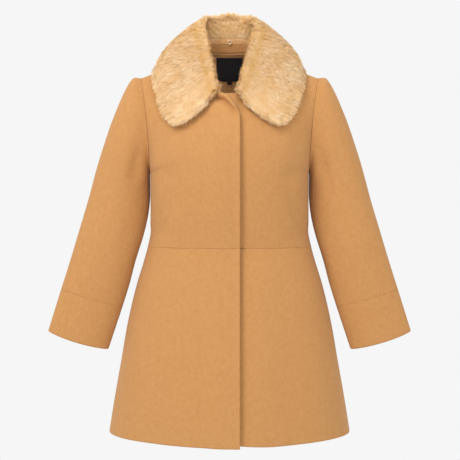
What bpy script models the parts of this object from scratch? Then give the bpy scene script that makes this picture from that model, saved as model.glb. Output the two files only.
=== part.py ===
"""A long A-line coat of thick wool cloth with a fur collar, filled out as it is when it is worn.

Sizes are in millimetres and the meshes in metres. X runs across the coat, towards the wearer's left,
-Y is the front and Z is up. The origin is between the neck points, where the shoulders carry the coat.
"""

import math
from collections import namedtuple

import bpy
import numpy as np
from mathutils import Vector
from mathutils.bvhtree import BVHTree

MM = 0.001

# The cloth and how closely its pieces lie
CLOTH = 2.5
SEAM = 0.3
FULLNESS = 0.6

# Heights
HEM_SIDE = -837.0
HEM_MIDDLE = -846.0
WAIST = -421.0
ARMPIT = -252.0

# The front fastening: the wearer's right front laps over the left one
OVERLAP = 22.6
UNDERLAP = 22.0
LAP_LIFT = 3.3
LAP_START = 62.0
LAP_END = 26.0
LAP_WAY = np.array([0.0, 1.0, 1.0])
UNDERLAP_RISE = 6.0
UNDERLAP_RISE_START = 0.67

# The shoulder and the neck
SHOULDER_POINT = np.array([197.0, 5.0, -42.0])
NECK_HALF_WIDTH = 80.0
NECK_FRONT = -80.0
NECK_BACK = 19.0
NECK_AXIS = np.array([0.0, -5.0])
NECK_FRONT_HALF = 22.0
CORNER_WIDTH = 34.0
CORNER_DROP = 36.0

# The armhole, an oval between the shoulder point and the armpit
ARMHOLE_FRONT = 52.0
ARMHOLE_BACK = 58.0
ARMPIT_POINT = np.array([178.0, 0.0, ARMPIT])

BodyRow = namedtuple("BodyRow", "height half_width front back")
BODY = (
    BodyRow(height=-846, half_width=273, front=172, back=170),
    BodyRow(height=-765, half_width=260, front=164, back=162),
    BodyRow(height=-675, half_width=244, front=154, back=152),
    BodyRow(height=-585, half_width=228, front=143, back=141),
    BodyRow(height=-495, half_width=206, front=130, back=129),
    BodyRow(height=-450, half_width=192, front=123, back=121),
    BodyRow(height=-421, half_width=184, front=119, back=116),
    BodyRow(height=-380, half_width=177, front=121, back=113),
    BodyRow(height=-330, half_width=175, front=131, back=114),
    BodyRow(height=-252, half_width=178, front=143, back=119),
)

# The middle of the bodice, from the waist (level 0) past the armpit (1) to the shoulder seams (2)
ProfileRow = namedtuple("ProfileRow", "level depth height")
FRONT_PROFILE = (
    ProfileRow(level=0.0, depth=-119, height=-421),
    ProfileRow(level=0.5, depth=-133, height=-330),
    ProfileRow(level=1.0, depth=-143, height=-235),
    ProfileRow(level=1.3, depth=-135, height=-165),
    ProfileRow(level=1.55, depth=-112, height=-106),
    ProfileRow(level=2.0, depth=5, height=27),
)
BACK_PROFILE = (
    ProfileRow(level=0.0, depth=116, height=-421),
    ProfileRow(level=0.5, depth=114, height=-330),
    ProfileRow(level=1.0, depth=120, height=-235),
    ProfileRow(level=1.4, depth=121, height=-135),
    ProfileRow(level=1.7, depth=100, height=-45),
    ProfileRow(level=1.87, depth=66, height=19),
    ProfileRow(level=2.0, depth=5, height=27),
)

# Sleeve sections, each across from its outer to its inner edge, from the armhole to the cuff's hem
SleeveRow = namedtuple("SleeveRow", "outer_x outer_z inner_x inner_z middle_y front back")
SLEEVE = (
    SleeveRow(outer_x=197, outer_z=-42, inner_x=178, inner_z=-252, middle_y=2.5, front=52, back=58),
    SleeveRow(outer_x=212, outer_z=-41, inner_x=178.8, inner_z=-255, middle_y=2, front=56, back=62),
    SleeveRow(outer_x=233, outer_z=-68, inner_x=179.4, inner_z=-260, middle_y=1, front=59, back=65),
    SleeveRow(outer_x=262, outer_z=-135, inner_x=180, inner_z=-269, middle_y=0, front=60, back=64),
    SleeveRow(outer_x=285, outer_z=-202, inner_x=181, inner_z=-284, middle_y=-1, front=57, back=61),
    SleeveRow(outer_x=299, outer_z=-248, inner_x=182, inner_z=-304, middle_y=-2, front=54, back=57),
    SleeveRow(outer_x=317, outer_z=-315, inner_x=187, inner_z=-356, middle_y=-4, front=50, back=52),
    SleeveRow(outer_x=337, outer_z=-382, inner_x=203, inner_z=-423, middle_y=-7, front=46, back=47),
    SleeveRow(outer_x=358, outer_z=-452, inner_x=223, inner_z=-492, middle_y=-11, front=40, back=41),
    SleeveRow(outer_x=377.5, outer_z=-514, inner_x=242, inner_z=-554, middle_y=-15, front=34, back=36),
    SleeveRow(outer_x=407, outer_z=-608, inner_x=273, inner_z=-649, middle_y=-20, front=27, back=28),
)
CUFF_ROW = 9
CUFF_HEM_SAG = 8.0

# Angles round a sleeve: 0 is its outer edge, 90 its front, 180 its inner edge and 270 its back
FRONT_SLEEVE_SEAM = 148.0
BACK_SLEEVE_SEAM = 248.0
FULL_TURN = 360.0
SLEEVE_SEAM_EASE = 0.05

# Soft folds: a sleeve's run down it at one angle, the bodice's slant across the front
SleeveFold = namedtuple("SleeveFold", "angle spread start end depth")
SLEEVE_FOLDS = (
    SleeveFold(angle=112, spread=13, start=1.2, end=5.6, depth=5.5),
    SleeveFold(angle=140, spread=12, start=1.0, end=5.0, depth=-3.0),
    SleeveFold(angle=246, spread=15, start=1.2, end=5.8, depth=5.0),
    SleeveFold(angle=172, spread=16, start=6.6, end=8.2, depth=3.0),
)
BodiceFold = namedtuple("BodiceFold", "top_x top_z bottom_x bottom_z spread depth")
BODICE_FOLDS = (
    BodiceFold(top_x=124, top_z=-262, bottom_x=158, bottom_z=-382, spread=13, depth=3.0),
    BodiceFold(top_x=150, top_z=-180, bottom_x=140, bottom_z=-262, spread=14, depth=2.5),
)

# The stand of cloth on the neck seam, and the fur collar's own band above it
NECKBAND_BACK = 20.0
NECKBAND_FRONT = 11.0
COLLAR_BAND_BACK = 12.0
COLLAR_BAND_FRONT = 4.0
BAND_LEAN = 0.3
NECKBAND_CLEAR = 1.9

# The fur collar, from the middle of the back (along 0) to its front end (1)
CollarRow = namedtuple("CollarRow", "along roll edge lip")
FUR_COLLAR = (
    CollarRow(along=0.00, roll=(0, 82, 112), edge=(0, 97, -16), lip=24),
    CollarRow(along=0.13, roll=(32, 76, 111), edge=(66, 83, -20), lip=24),
    CollarRow(along=0.26, roll=(54, 50, 104), edge=(128, 57, -28), lip=24),
    CollarRow(along=0.40, roll=(54, 14, 77), edge=(170, 8, -25), lip=26),
    CollarRow(along=0.52, roll=(48, -18, 42), edge=(171, -38, -56), lip=26),
    CollarRow(along=0.64, roll=(39, -50, 6), edge=(160, -65, -94), lip=25),
    CollarRow(along=0.75, roll=(31, -74, -26), edge=(147, -85, -129), lip=24),
    CollarRow(along=0.84, roll=(26, -90, -48), edge=(117, -110, -156), lip=22),
    CollarRow(along=0.91, roll=(23, -98, -60), edge=(92, -119, -148), lip=20),
    CollarRow(along=0.96, roll=(21, -103, -67), edge=(62, -118, -121), lip=18),
    CollarRow(along=1.00, roll=(20, -106, -71), edge=(36, -110, -96), lip=14),
)
COLLAR_SHIFT = -5.0
COLLAR_GAP = 1.3
COLLAR_SEAT = 2.8
COLLAR_UNDERSIDE_ENDS = (0.06, 0.94)
# How far the curves over the roll run on, as shares of the stand's height, of the fall and of the lip
STAND_HANDLE = 0.4
ROLL_HANDLE = 0.1
FALL_HANDLE = 0.45
LIP_HANDLE = 1.6
COLLAR_OUTSIDE = 9
COLLAR_INSIDE = 5
COLLAR_UNDERSIDE = 9
COLLAR_ROWS_PER_STATION = 2

# Inside the back neck
FACING_CLOTH = 1.2
FACING_GAP = 0.6
FACING_TRIM = 0.1
FACING_ROWS = 7
LABEL_CLOTH = 0.8
LABEL_GAP = 0.9
LABEL_SIZE = (60.0, 53.0)
LABEL_TOP = 9.0
TAB_SIZE = (11.0, 6.5)
TAB_GAP = 0.6
TAB_TOP = LABEL_TOP - LABEL_SIZE[1] - TAB_GAP
PATCH_ROWS = 6
PATCH_COLUMNS = 8

# The button that holds the collar on, turned from the middle of its dished face round to its back
ButtonRow = namedtuple("ButtonRow", "radius height")
BUTTON_PROFILE = (
    ButtonRow(radius=0.0, height=1.8),
    ButtonRow(radius=2.5, height=1.8),
    ButtonRow(radius=3.4, height=2.6),
    ButtonRow(radius=5.0, height=2.6),
    ButtonRow(radius=5.5, height=1.6),
    ButtonRow(radius=5.5, height=0.8),
    ButtonRow(radius=4.4, height=0.0),
    ButtonRow(radius=0.0, height=0.0),
)
BUTTON_HEIGHT = NECKBAND_BACK + 5.5
BUTTON_GAP = 0.6
BUTTON_STEPS = 24
BUTTON_MERGE = 0.00001

# How finely the pieces are divided
DENSE = 61
BODICE_ROWS = 18
BODICE_STEPS = 1 - (1 - np.linspace(0, 1, BODICE_ROWS + 1)) ** 1.35
SKIRT_ROWS = 13
FRONT_SKIRT_COLUMNS = 14
BACK_SKIRT_COLUMNS = 24
SHOULDER_COLUMNS = 7
NECK_COLUMNS = 6
CORNER_COLUMNS = 4
SLEEVE_ROW_STEP = 0.5
TOP_SLEEVE_COLUMNS = 16
UNDER_SLEEVE_COLUMNS = 9
CUFF_ROWS = 5
BAND_COLUMNS = 40
BAND_ROWS = 2
RAY_REACH = 120.0
OTHER_WAY_ROUND = [0, 3, 2, 1]
SHARP_ANGLE = math.radians(50)

CAMEL = (0.604, 0.301, 0.110, 1.0)
CAMEL_INSIDE = (0.400, 0.180, 0.060, 1.0)
PALE_GOLD = (0.820, 0.530, 0.270, 1.0)
BLACK = (0.012, 0.012, 0.014, 1.0)
HORN = (0.760, 0.500, 0.290, 1.0)


# Curves and grids of points


def smooth_through(stations, values):
    """A function whose value runs smoothly through the given ones and is level where they turn."""
    stations = np.array(stations, float)
    values = np.array(values, float).reshape(len(stations), -1)
    rises = np.diff(values, axis=0) / np.diff(stations)[:, None]
    slopes = np.gradient(values, stations, axis=0)
    slopes[1:-1][rises[:-1] * rises[1:] <= 0] = 0

    def value(station):
        station = min(max(station, stations[0]), stations[-1])
        i = min(int(np.searchsorted(stations, station, side="right")) - 1, len(stations) - 2)
        width = stations[i + 1] - stations[i]
        t = (station - stations[i]) / width
        start = (1 + 2 * t) * (1 - t) ** 2 * values[i] + t * (1 - t) ** 2 * width * slopes[i]
        end = t**2 * (3 - 2 * t) * values[i + 1] - t**2 * (1 - t) * width * slopes[i + 1]
        return start + end

    return value


def bezier(start, start_handle, end_handle, end, count):
    t = np.linspace(0, 1, count)[:, None]
    return (
        (1 - t) ** 3 * start
        + 3 * (1 - t) ** 2 * t * start_handle
        + 3 * (1 - t) * t**2 * end_handle
        + t**3 * end
    )


def ease(value):
    value = min(max(value, 0.0), 1.0)
    return value * value * (3 - 2 * value)


def unit(vectors):
    return vectors / np.linalg.norm(vectors, axis=-1, keepdims=True)


def arc_lengths(line):
    return np.concatenate([[0], np.cumsum(np.linalg.norm(np.diff(line, axis=0), axis=1))])


def points_along(line, distances):
    arcs = arc_lengths(line)
    return np.stack([np.interp(distances, arcs, line[:, axis]) for axis in range(3)], axis=-1)


def spread(line, count, trim=SEAM / 2):
    """Points evenly along a line, kept half a seam's gap from both of its ends."""
    return points_along(line, np.linspace(trim, arc_lengths(line)[-1] - trim, count + 1))


def grid_normals(points, facing):
    """The normal at each point of a grid, on the side that faces a direction."""
    down = np.gradient(points, axis=0, edge_order=2)
    across = np.gradient(points, axis=1, edge_order=2)
    normals = unit(np.cross(down, across))
    return normals if (normals.sum(axis=(0, 1)) @ np.array(facing)) > 0 else -normals


def mirrored(points):
    return points * np.array([-1.0, 1.0, 1.0])


# The body: half sections from a side seam or armhole to the middle


half_width_at = smooth_through([row.height for row in BODY], [row.half_width for row in BODY])
body_depth_at = {
    "front": smooth_through([row.height for row in BODY], [-row.front for row in BODY]),
    "back": smooth_through([row.height for row in BODY], [row.back for row in BODY]),
}
middle_at = {
    "front": smooth_through([row.level for row in FRONT_PROFILE], [row[1:] for row in FRONT_PROFILE]),
    "back": smooth_through([row.level for row in BACK_PROFILE], [row[1:] for row in BACK_PROFILE]),
}


def half_section(side, middle, flatness=0.0):
    """A line from the side to the middle, between a quarter of an oval (0) and a straight line (1)."""
    round_side = side + np.array([0.0, FULLNESS * (middle[1] - side[1]), 0.0])
    round_middle = middle + np.array([FULLNESS * (side[0] - middle[0]), 0.0, 0.0])
    straight_side = side + (middle - side) / 3
    straight_middle = middle + (side - middle) * np.array([1.0, 0.0, 0.0]) / 3
    return bezier(
        side,
        round_side + (straight_side - round_side) * flatness,
        round_middle + (straight_middle - round_middle) * flatness,
        middle,
        DENSE,
    )


def whole_section(half):
    """The line on from the middle to the other side."""
    return np.concatenate([half, mirrored(half)[-2::-1]])


def armhole(angle, face):
    """A point of the armhole seam, from the shoulder point (0 degrees) down to the armpit (180)."""
    middle = (SHOULDER_POINT + ARMPIT_POINT) / 2
    along = (SHOULDER_POINT - ARMPIT_POINT) / 2
    depth = -ARMHOLE_FRONT if face == "front" else ARMHOLE_BACK
    turn = math.radians(angle)
    return middle + along * math.cos(turn) + np.array([0.0, depth * math.sin(turn), 0.0])


def bodice_section(level, face):
    if level <= 1:
        height = WAIST + (ARMPIT - WAIST) * level
        side = np.array([half_width_at(height)[0], 0.0, height])
    else:
        side = armhole(180 * (2 - level), face)
    middle = np.array([0.0, *middle_at[face](level)])
    return whole_section(half_section(side, middle, ease(level - 1)))


def skirt_section(height, face):
    side = np.array([half_width_at(height)[0], 0.0, height])
    middle = np.array([0.0, body_depth_at[face](height)[0], height])
    return whole_section(half_section(side, middle))


def distance_to_x(line, x):
    """How far along a section, which runs from +X to -X, it reaches this X."""
    return np.interp(-x, -line[:, 0], arc_lengths(line))


def point_at_share(line, share, end_x):
    """The point a share of the way from the side seam to where the section reaches end_x."""
    length = distance_to_x(line, end_x) - SEAM / 2
    return points_along(line, SEAM / 2 + share * (length - SEAM / 2))


def level_at_height(face, height):
    levels = np.linspace(1, 2, DENSE)
    return np.interp(height, [middle_at[face](level)[1] for level in levels], levels)


def neck_level(share, neck_share, low_share, low_level):
    """The level of a bodice's upper edge: its shoulder seam, then the curve down round the neck."""
    part = min(max((share - neck_share) / (low_share - neck_share), 0.0), 1.0)
    return 2 - (2 - low_level) * math.sin(math.pi / 2 * part)


def share_at_x(line, x, end_x):
    return distance_to_x(line, x) / distance_to_x(line, end_x)


def fold_depth(point, folds):
    """How far the soft folds sink the cloth of the front at a point."""
    depth = 0.0
    for fold in folds:
        top = np.array([fold.top_x, fold.top_z])
        run = np.array([fold.bottom_x, fold.bottom_z]) - top
        place = point[[0, 2]] - top
        part = min(max(place @ run / (run @ run), 0.0), 1.0)
        away = np.linalg.norm(place - part * run)
        depth += fold.depth * math.exp(-((away / fold.spread) ** 2))
    return depth


def lap_lift(x):
    """How far the overlap's cloth stands off, so that the underlap lies beneath it."""
    return LAP_LIFT * ease((LAP_START - x) / (LAP_START - LAP_END))


def front_bodice_points(end_x, neck_height, corner_drop, lift):
    """The wearer's left front; the right one is its mirror image with the overlap's sizes."""
    top = bodice_section(2, "front")
    neck_share = share_at_x(top, NECK_HALF_WIDTH, end_x)
    low_level = level_at_height("front", neck_height)
    low_line = bodice_section(low_level, "front")
    corner_share = share_at_x(low_line, end_x + CORNER_WIDTH, end_x)
    shares = np.concatenate(
        [
            np.linspace(0, neck_share, SHOULDER_COLUMNS, endpoint=False),
            np.linspace(neck_share, corner_share, NECK_COLUMNS, endpoint=False),
            corner_share + (1 - corner_share) * np.sin(np.linspace(0, math.pi / 2, CORNER_COLUMNS + 1)),
        ]
    )
    points = np.empty((BODICE_ROWS + 1, len(shares), 3))
    for column, share in enumerate(shares):
        highest = neck_level(share, neck_share, corner_share, low_level)
        past_corner = max(share - corner_share, 0.0) / (1 - corner_share)
        drop = corner_drop * (1 - math.sqrt(max(1 - past_corner**2, 0.0)))
        if drop:
            highest = level_at_height("front", neck_height - drop)
        for row, level in enumerate(highest * BODICE_STEPS):
            points[row, column] = point_at_share(bodice_section(level, "front"), share, end_x)
    points[0, :, 2] += SEAM / 2
    points[-1, : SHOULDER_COLUMNS + 1, 1] -= SEAM / 2
    return shaped_front(points, lift)


def shaped_front(points, lift):
    """A front's points with its folds sunk in and, on the overlap, its lap lifted."""
    normals = grid_normals(points, (0, -1, 0))
    normals[0, :, 2] = 0
    lifts = np.array([[lift * lap_lift(point[0]) for point in row] for row in points])
    sunk = np.array([[fold_depth(point, BODICE_FOLDS) for point in row] for row in points])
    return points + normals * LAP_WAY * lifts[..., None] - normals * sunk[..., None]


def back_bodice_points():
    top = bodice_section(2, "back")
    full = -SHOULDER_POINT[0]
    neck_share = share_at_x(top, NECK_HALF_WIDTH, full)
    low_level = level_at_height("back", NECK_BACK)
    half = np.concatenate(
        [
            np.linspace(0, neck_share, SHOULDER_COLUMNS, endpoint=False),
            np.linspace(neck_share, 0.5, NECK_COLUMNS + 1),
        ]
    )
    shares = np.concatenate([half, 1 - half[-2::-1]])
    points = np.empty((BODICE_ROWS + 1, len(shares), 3))
    for column, share in enumerate(shares):
        highest = neck_level(min(share, 1 - share), neck_share, 0.5, low_level)
        for row, level in enumerate(highest * BODICE_STEPS):
            line = bodice_section(level, "back")
            points[row, column] = point_at_share(line, share, line[-1, 0])
    points[0, :, 2] += SEAM / 2
    points[-1, : SHOULDER_COLUMNS + 1, 1] += SEAM / 2
    points[-1, -SHOULDER_COLUMNS - 1 :, 1] += SEAM / 2
    return points


def skirt_points(face, end_x, columns, hem_rise=0.0):
    """A skirt panel's points, from the waist seam down to a hem that rises to the side seams."""
    points = np.empty((SKIRT_ROWS + 1, columns + 1, 3))
    for column, share in enumerate(np.linspace(0, 1, columns + 1)):
        to_middle = math.sin(math.pi * share if face == "back" else math.pi / 2 * share)
        near_edge = ease((share - UNDERLAP_RISE_START) / (1 - UNDERLAP_RISE_START))
        hem = HEM_SIDE + (HEM_MIDDLE - HEM_SIDE) * to_middle + hem_rise * near_edge
        for row, height in enumerate(np.linspace(WAIST - SEAM / 2, hem, SKIRT_ROWS + 1)):
            line = skirt_section(height, face)
            stop_x = line[-1, 0] if end_x is None else end_x
            points[row, column] = point_at_share(line, share, stop_x)
    return points


# Sleeves


sleeve_section_at = smooth_through(range(len(SLEEVE)), SLEEVE)


def sleeve_section(row, first_angle, last_angle):
    """The line round a sleeve between two angles, at a place between two of its table's rows."""
    size = SleeveRow(*sleeve_section_at(row))
    outer = np.array([size.outer_x, size.middle_y, size.outer_z])
    inner = np.array([size.inner_x, size.middle_y, size.inner_z])
    tilt = np.array([0.0, (SHOULDER_POINT[1] - ARMPIT_POINT[1]) / 2 * max(1 - row, 0.0), 0.0])
    middle, across = (outer + inner) / 2, (outer - inner) / 2 + tilt
    downward = unit(np.array([across[2], 0.0, -across[0]]))
    line = []
    for angle in np.linspace(first_angle, last_angle, 2 * DENSE):
        turn = math.radians(angle)
        depth = size.front if math.sin(turn) > 0 else size.back
        sunk = sleeve_fold(row, angle)
        reach = np.array([0.0, -depth * math.sin(turn), 0.0]) + across * math.cos(turn)
        sag = CUFF_HEM_SAG * math.sin(turn) ** 2 * max(row - CUFF_ROW, 0.0)
        line.append(middle + reach * (1 - sunk / np.linalg.norm(reach)) + downward * sag)
    return np.array(line) + np.array([SEAM, 0.0, 0.0])


def sleeve_fold(row, angle):
    sunk = 0.0
    for fold in SLEEVE_FOLDS:
        turn = (angle - fold.angle + FULL_TURN / 2) % FULL_TURN - FULL_TURN / 2
        part = (row - fold.start) / (fold.end - fold.start)
        if 0 < part < 1:
            fade = math.sin(math.pi * part) ** 2
            sunk += fold.depth * fade * math.exp(-((turn / fold.spread) ** 2))
    return sunk


def sleeve_points(rows, first_angle, last_angle, columns):
    trim = SEAM / 2 + SLEEVE_SEAM_EASE
    lines = [sleeve_section(row, first_angle, last_angle) for row in rows]
    return np.array([spread(line, columns, trim) for line in lines])


# The neck


def neckline(count):
    """The neck seam's outer line from the middle of the back to the front end, on the wearer's left."""
    back_top, front_top = bodice_section(2, "back"), bodice_section(2, "front")
    full, end_x = -SHOULDER_POINT[0], NECK_FRONT_HALF
    back_share = share_at_x(back_top, NECK_HALF_WIDTH, full)
    front_share = share_at_x(front_top, NECK_HALF_WIDTH, -UNDERLAP)
    back_level = level_at_height("back", NECK_BACK)
    front_level = level_at_height("front", NECK_FRONT)
    low_line = bodice_section(front_level, "front")
    line = []
    for share in np.linspace(0.5, back_share, DENSE):
        section = bodice_section(neck_level(share, back_share, 0.5, back_level), "back")
        line.append(point_at_share(section, share, section[-1, 0]))
    end_share = share_at_x(low_line, end_x, -UNDERLAP)
    low_share = share_at_x(low_line, CORNER_WIDTH - UNDERLAP, -UNDERLAP)
    for share in np.linspace(front_share, end_share, DENSE)[1:]:
        section = bodice_section(neck_level(share, front_share, low_share, front_level), "front")
        line.append(point_at_share(section, share, -UNDERLAP))
    return spread(np.array(line), count, trim=0)


def band_frame(points):
    """At each point of the neckline, the way up the stand and the way out of the neck."""
    outward = np.zeros_like(points)
    outward[:, :2] = unit(points[:, :2] - NECK_AXIS)
    rise = unit(np.array([0.0, 0.0, 1.0]) - BAND_LEAN * outward)
    return rise, unit(outward + BAND_LEAN * np.array([0.0, 0.0, 1.0]))


def band_heights(count, at_back, at_front):
    turn = np.linspace(0, math.pi / 2, count + 1)
    return at_front + (at_back - at_front) * np.cos(turn) ** 2


def band_points(low_back, low_front, high_back, high_front):
    """A band round the whole neck between two heights above the neck seam."""
    half = neckline(BAND_COLUMNS // 2)
    rise, _ = band_frame(half)
    low = band_heights(BAND_COLUMNS // 2, low_back, low_front) + SEAM
    high = band_heights(BAND_COLUMNS // 2, high_back, high_front) - SEAM
    parts = np.linspace(0, 1, BAND_ROWS + 1)
    rows = [half + rise * (low + (high - low) * part)[:, None] for part in parts]
    return np.array([np.concatenate([row[::-1], mirrored(row)[1:]]) for row in rows])


def collar_section(station, side, cloth):
    """A closed line round the fur collar: up its inside, over the roll, down to its edge and back."""
    along, roll_x, roll_y, roll_z, edge_x, edge_y, edge_z, lip = collar_at(station)
    line = neckline(BAND_COLUMNS)
    seam = points_along(line, along * arc_lengths(line)[-1]) * np.array([side, 1.0, 1.0])
    (rise,), (outward,) = band_frame(seam[None])
    shift = COLLAR_SHIFT * along**2
    turn = math.cos(along * math.pi / 2) ** 2
    height = NECKBAND_FRONT + COLLAR_BAND_FRONT
    height += (NECKBAND_BACK + COLLAR_BAND_BACK - height) * turn
    foot = seam + outward * 2 * COLLAR_GAP + rise * 2 * COLLAR_GAP
    band_top = seam + rise * (height + 2 * SEAM)
    roll = np.array([roll_x * side + shift, roll_y, roll_z])
    edge = np.array([edge_x * side + shift, edge_y, edge_z])
    out = unit(edge - foot)
    up = unit((roll - foot) - ((roll - foot) @ out) * out)
    reach = (edge - roll) @ out
    inside = bezier(
        band_top - outward * CLOTH,
        band_top - outward * CLOTH + rise * STAND_HANDLE * np.linalg.norm(roll - band_top),
        roll - out * ROLL_HANDLE * reach,
        roll,
        COLLAR_INSIDE,
    )
    over_roll = roll + out * FALL_HANDLE * reach
    outside = bezier(roll, over_roll, edge + up * lip * LIP_HANDLE, edge, COLLAR_OUTSIDE)
    underside = []
    for part in np.linspace(*COLLAR_UNDERSIDE_ENDS, COLLAR_UNDERSIDE):
        start = edge + (foot - edge) * part + up * RAY_REACH
        hit = cloth.ray_cast(Vector(start * MM), Vector(-up))[0]
        underside.append(np.array(hit) / MM + up * COLLAR_SEAT if hit else edge + (foot - edge) * part)
    line = [foot, band_top + outward * COLLAR_GAP, *inside, *outside[1:], *underside]
    return np.array(line)


collar_at = smooth_through(
    range(len(FUR_COLLAR)),
    [(row.along, *row.roll, *row.edge, row.lip) for row in FUR_COLLAR],
)


# Meshes and objects


def material(name, colour, roughness):
    made = bpy.data.materials.new(name)
    made.use_nodes = True
    shader = made.node_tree.nodes["Principled BSDF"]
    shader.inputs["Base Color"].default_value = colour
    shader.inputs["Roughness"].default_value = roughness
    shader.inputs["Metallic"].default_value = 0.0
    return made


def add_piece(name, vertices, faces, look):
    mesh = bpy.data.meshes.new(name)
    mesh.from_pydata((np.array(vertices) * MM).tolist(), [], faces)
    mesh.validate()
    mesh.shade_smooth()
    mesh.set_sharp_from_angle(angle=SHARP_ANGLE)
    mesh.materials.append(look)
    piece = bpy.data.objects.new(name, mesh)
    piece.parent = hold
    coat.objects.link(piece)
    return piece


def add_wall(name, points, normals, thickness, look):
    """A wall of cloth between a grid of outer points and the same points moved in."""
    rows, columns = points.shape[:2]
    outer = points.reshape(-1, 3)
    inner = (points - normals * thickness).reshape(-1, 3)
    at = np.arange(rows * columns).reshape(rows, columns)
    quads = np.stack([at[:-1, :-1], at[1:, :-1], at[1:, 1:], at[:-1, 1:]], axis=-1).reshape(-1, 4)
    corner = np.cross(points[1, 0] - points[0, 0], points[0, 1] - points[0, 0])
    rim = np.concatenate([at[:, 0], at[-1, 1:], at[-2::-1, -1], at[0, -2:0:-1]])
    if corner @ normals[0, 0] < 0:
        quads = quads[:, OTHER_WAY_ROUND]
        rim = rim[::-1]
    step = rows * columns
    after = np.roll(rim, -1)
    sides = np.stack([after, rim, rim + step, after + step], axis=-1)
    faces = np.concatenate([quads, quads[:, OTHER_WAY_ROUND] + step, sides])
    return add_piece(name, np.concatenate([outer, inner]), faces.tolist(), look)


def add_panel(name, points, facing, look, thickness=CLOTH):
    return add_wall(name, points, grid_normals(points, facing), thickness, look)


def add_bodice(name, points, facing, look, shoulders):
    """A bodice panel, whose wall is square to the shoulder's slope along the shoulder seam."""
    normals = grid_normals(points, facing)
    for columns, side in shoulders:
        line = bodice_section(2, "front")
        slope = unit(line[DENSE - 1] - line[0])
        normals[-1, columns] = np.array([-slope[2] * -side, 0.0, -slope[0]])
    return add_wall(name, points, normals, CLOTH, look)


def surfaces_of(pieces):
    """One tree of all faces of some pieces, for finding where a line meets them."""
    vertices, faces = [], []
    for piece in pieces:
        first = len(vertices)
        vertices += [vertex.co.copy() for vertex in piece.data.vertices]
        faces += [[first + index for index in face.vertices] for face in piece.data.polygons]
    return BVHTree.FromPolygons(vertices, faces)


def facing_points(panel):
    """The points of the facing, the back bodice's own upper middle ones moved in, and their normals."""
    normals = grid_normals(panel, (0, 1, 0))
    upper = (slice(-FACING_ROWS - 1, None), slice(SHOULDER_COLUMNS + 1, -SHOULDER_COLUMNS - 1))
    points = (panel - normals * (CLOTH + FACING_GAP))[upper]
    points[-1] += (points[-2] - points[-1]) * FACING_TRIM
    return points, normals[upper]


def add_patch(name, size, top, carrier, look):
    """A piece of ribbon on the inside of the back neck."""
    width, height = size
    points = np.empty((PATCH_ROWS + 1, PATCH_COLUMNS + 1, 3))
    for row, z in enumerate(np.linspace(top, top - height, PATCH_ROWS + 1)):
        for column, x in enumerate(np.linspace(-width / 2, width / 2, PATCH_COLUMNS + 1)):
            hit = carrier.ray_cast(Vector((x * MM, 0, z * MM)), Vector((0, 1, 0)))[0]
            points[row, column] = np.array(hit) / MM
    normals = grid_normals(points, (0, -1, 0))
    return add_wall(name, points + normals * (LABEL_GAP + LABEL_CLOTH), normals, LABEL_CLOTH, look)


def add_fur_collar(name, sections, look):
    """A closed body through the collar's sections, capped at each front end."""
    rows, around = sections.shape[:2]
    at = np.arange(rows * around).reshape(rows, around)
    after = np.roll(at, -1, axis=1)
    sides = np.stack([at[:-1], after[:-1], after[1:], at[1:]], axis=-1).reshape(-1, 4).tolist()
    ends = [at[0, ::-1].tolist(), at[-1].tolist()]
    return add_piece(name, sections.reshape(-1, 3), sides + ends, look)


def add_button(name, look):
    """A turned button with a dished face, just off the collar's band at the middle of the back."""
    seam = neckline(BAND_COLUMNS)[:1]
    (rise,), (outward,) = band_frame(seam)
    place = seam[0] + rise * BUTTON_HEIGHT - outward * (CLOTH + BUTTON_GAP)
    vertices = [(row.radius, 0.0, row.height) for row in BUTTON_PROFILE]
    edges = [(i, i + 1) for i in range(len(BUTTON_PROFILE) - 1)]
    mesh = bpy.data.meshes.new(name)
    mesh.from_pydata((np.array(vertices) * MM).tolist(), edges, [])
    mesh.materials.append(look)
    button = bpy.data.objects.new(name, mesh)
    turn = button.modifiers.new("turned", "SCREW")
    turn.steps = BUTTON_STEPS
    turn.render_steps = BUTTON_STEPS
    turn.use_merge_vertices = True
    turn.merge_threshold = BUTTON_MERGE
    button.location = place * MM
    button.rotation_euler = Vector(-outward).to_track_quat("Z", "Y").to_euler()
    button.parent = hold
    coat.objects.link(button)
    return button


def start_scene():
    for old in list(bpy.data.objects):
        bpy.data.objects.remove(old, do_unlink=True)
    collection = bpy.data.collections.new("long_coat")
    bpy.context.scene.collection.children.link(collection)
    empty = bpy.data.objects.new("held_at_shoulders", None)
    collection.objects.link(empty)
    return collection, empty


coat, hold = start_scene()
cloth_look = material("coat_cloth", CAMEL, 0.9)
inside_look = material("facing_cloth", CAMEL_INSIDE, 0.9)
fur_look = material("fur", PALE_GOLD, 0.8)
label_look = material("label_ribbon", BLACK, 0.6)
button_look = material("horn", HORN, 0.4)

# Bodice
left_points = front_bodice_points(-UNDERLAP, NECK_FRONT, 0.0, lift=0)
right_points = mirrored(front_bodice_points(-OVERLAP, NECK_FRONT, CORNER_DROP, lift=1))
back_points = back_bodice_points()
first, last = slice(0, SHOULDER_COLUMNS + 1), slice(-SHOULDER_COLUMNS - 1, None)
front_left = add_bodice("front_bodice_left", left_points, (0, -1, 0), cloth_look, [(first, 1)])
front_right = add_bodice("front_bodice_right", right_points, (0, -1, 0), cloth_look, [(first, -1)])
back = add_bodice("back_bodice", back_points, (0, 1, 0), cloth_look, [(first, 1), (last, -1)])

# Skirt
left_skirt = skirt_points("front", -UNDERLAP, FRONT_SKIRT_COLUMNS, hem_rise=UNDERLAP_RISE)
right_skirt = skirt_points("front", -OVERLAP, FRONT_SKIRT_COLUMNS)
add_panel("front_skirt_left", shaped_front(left_skirt, lift=0), (0, -1, 0), cloth_look)
add_panel("front_skirt_right", mirrored(shaped_front(right_skirt, lift=1)), (0, -1, 0), cloth_look)
add_panel("back_skirt", skirt_points("back", None, BACK_SKIRT_COLUMNS), (0, 1, 0), cloth_look)

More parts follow.
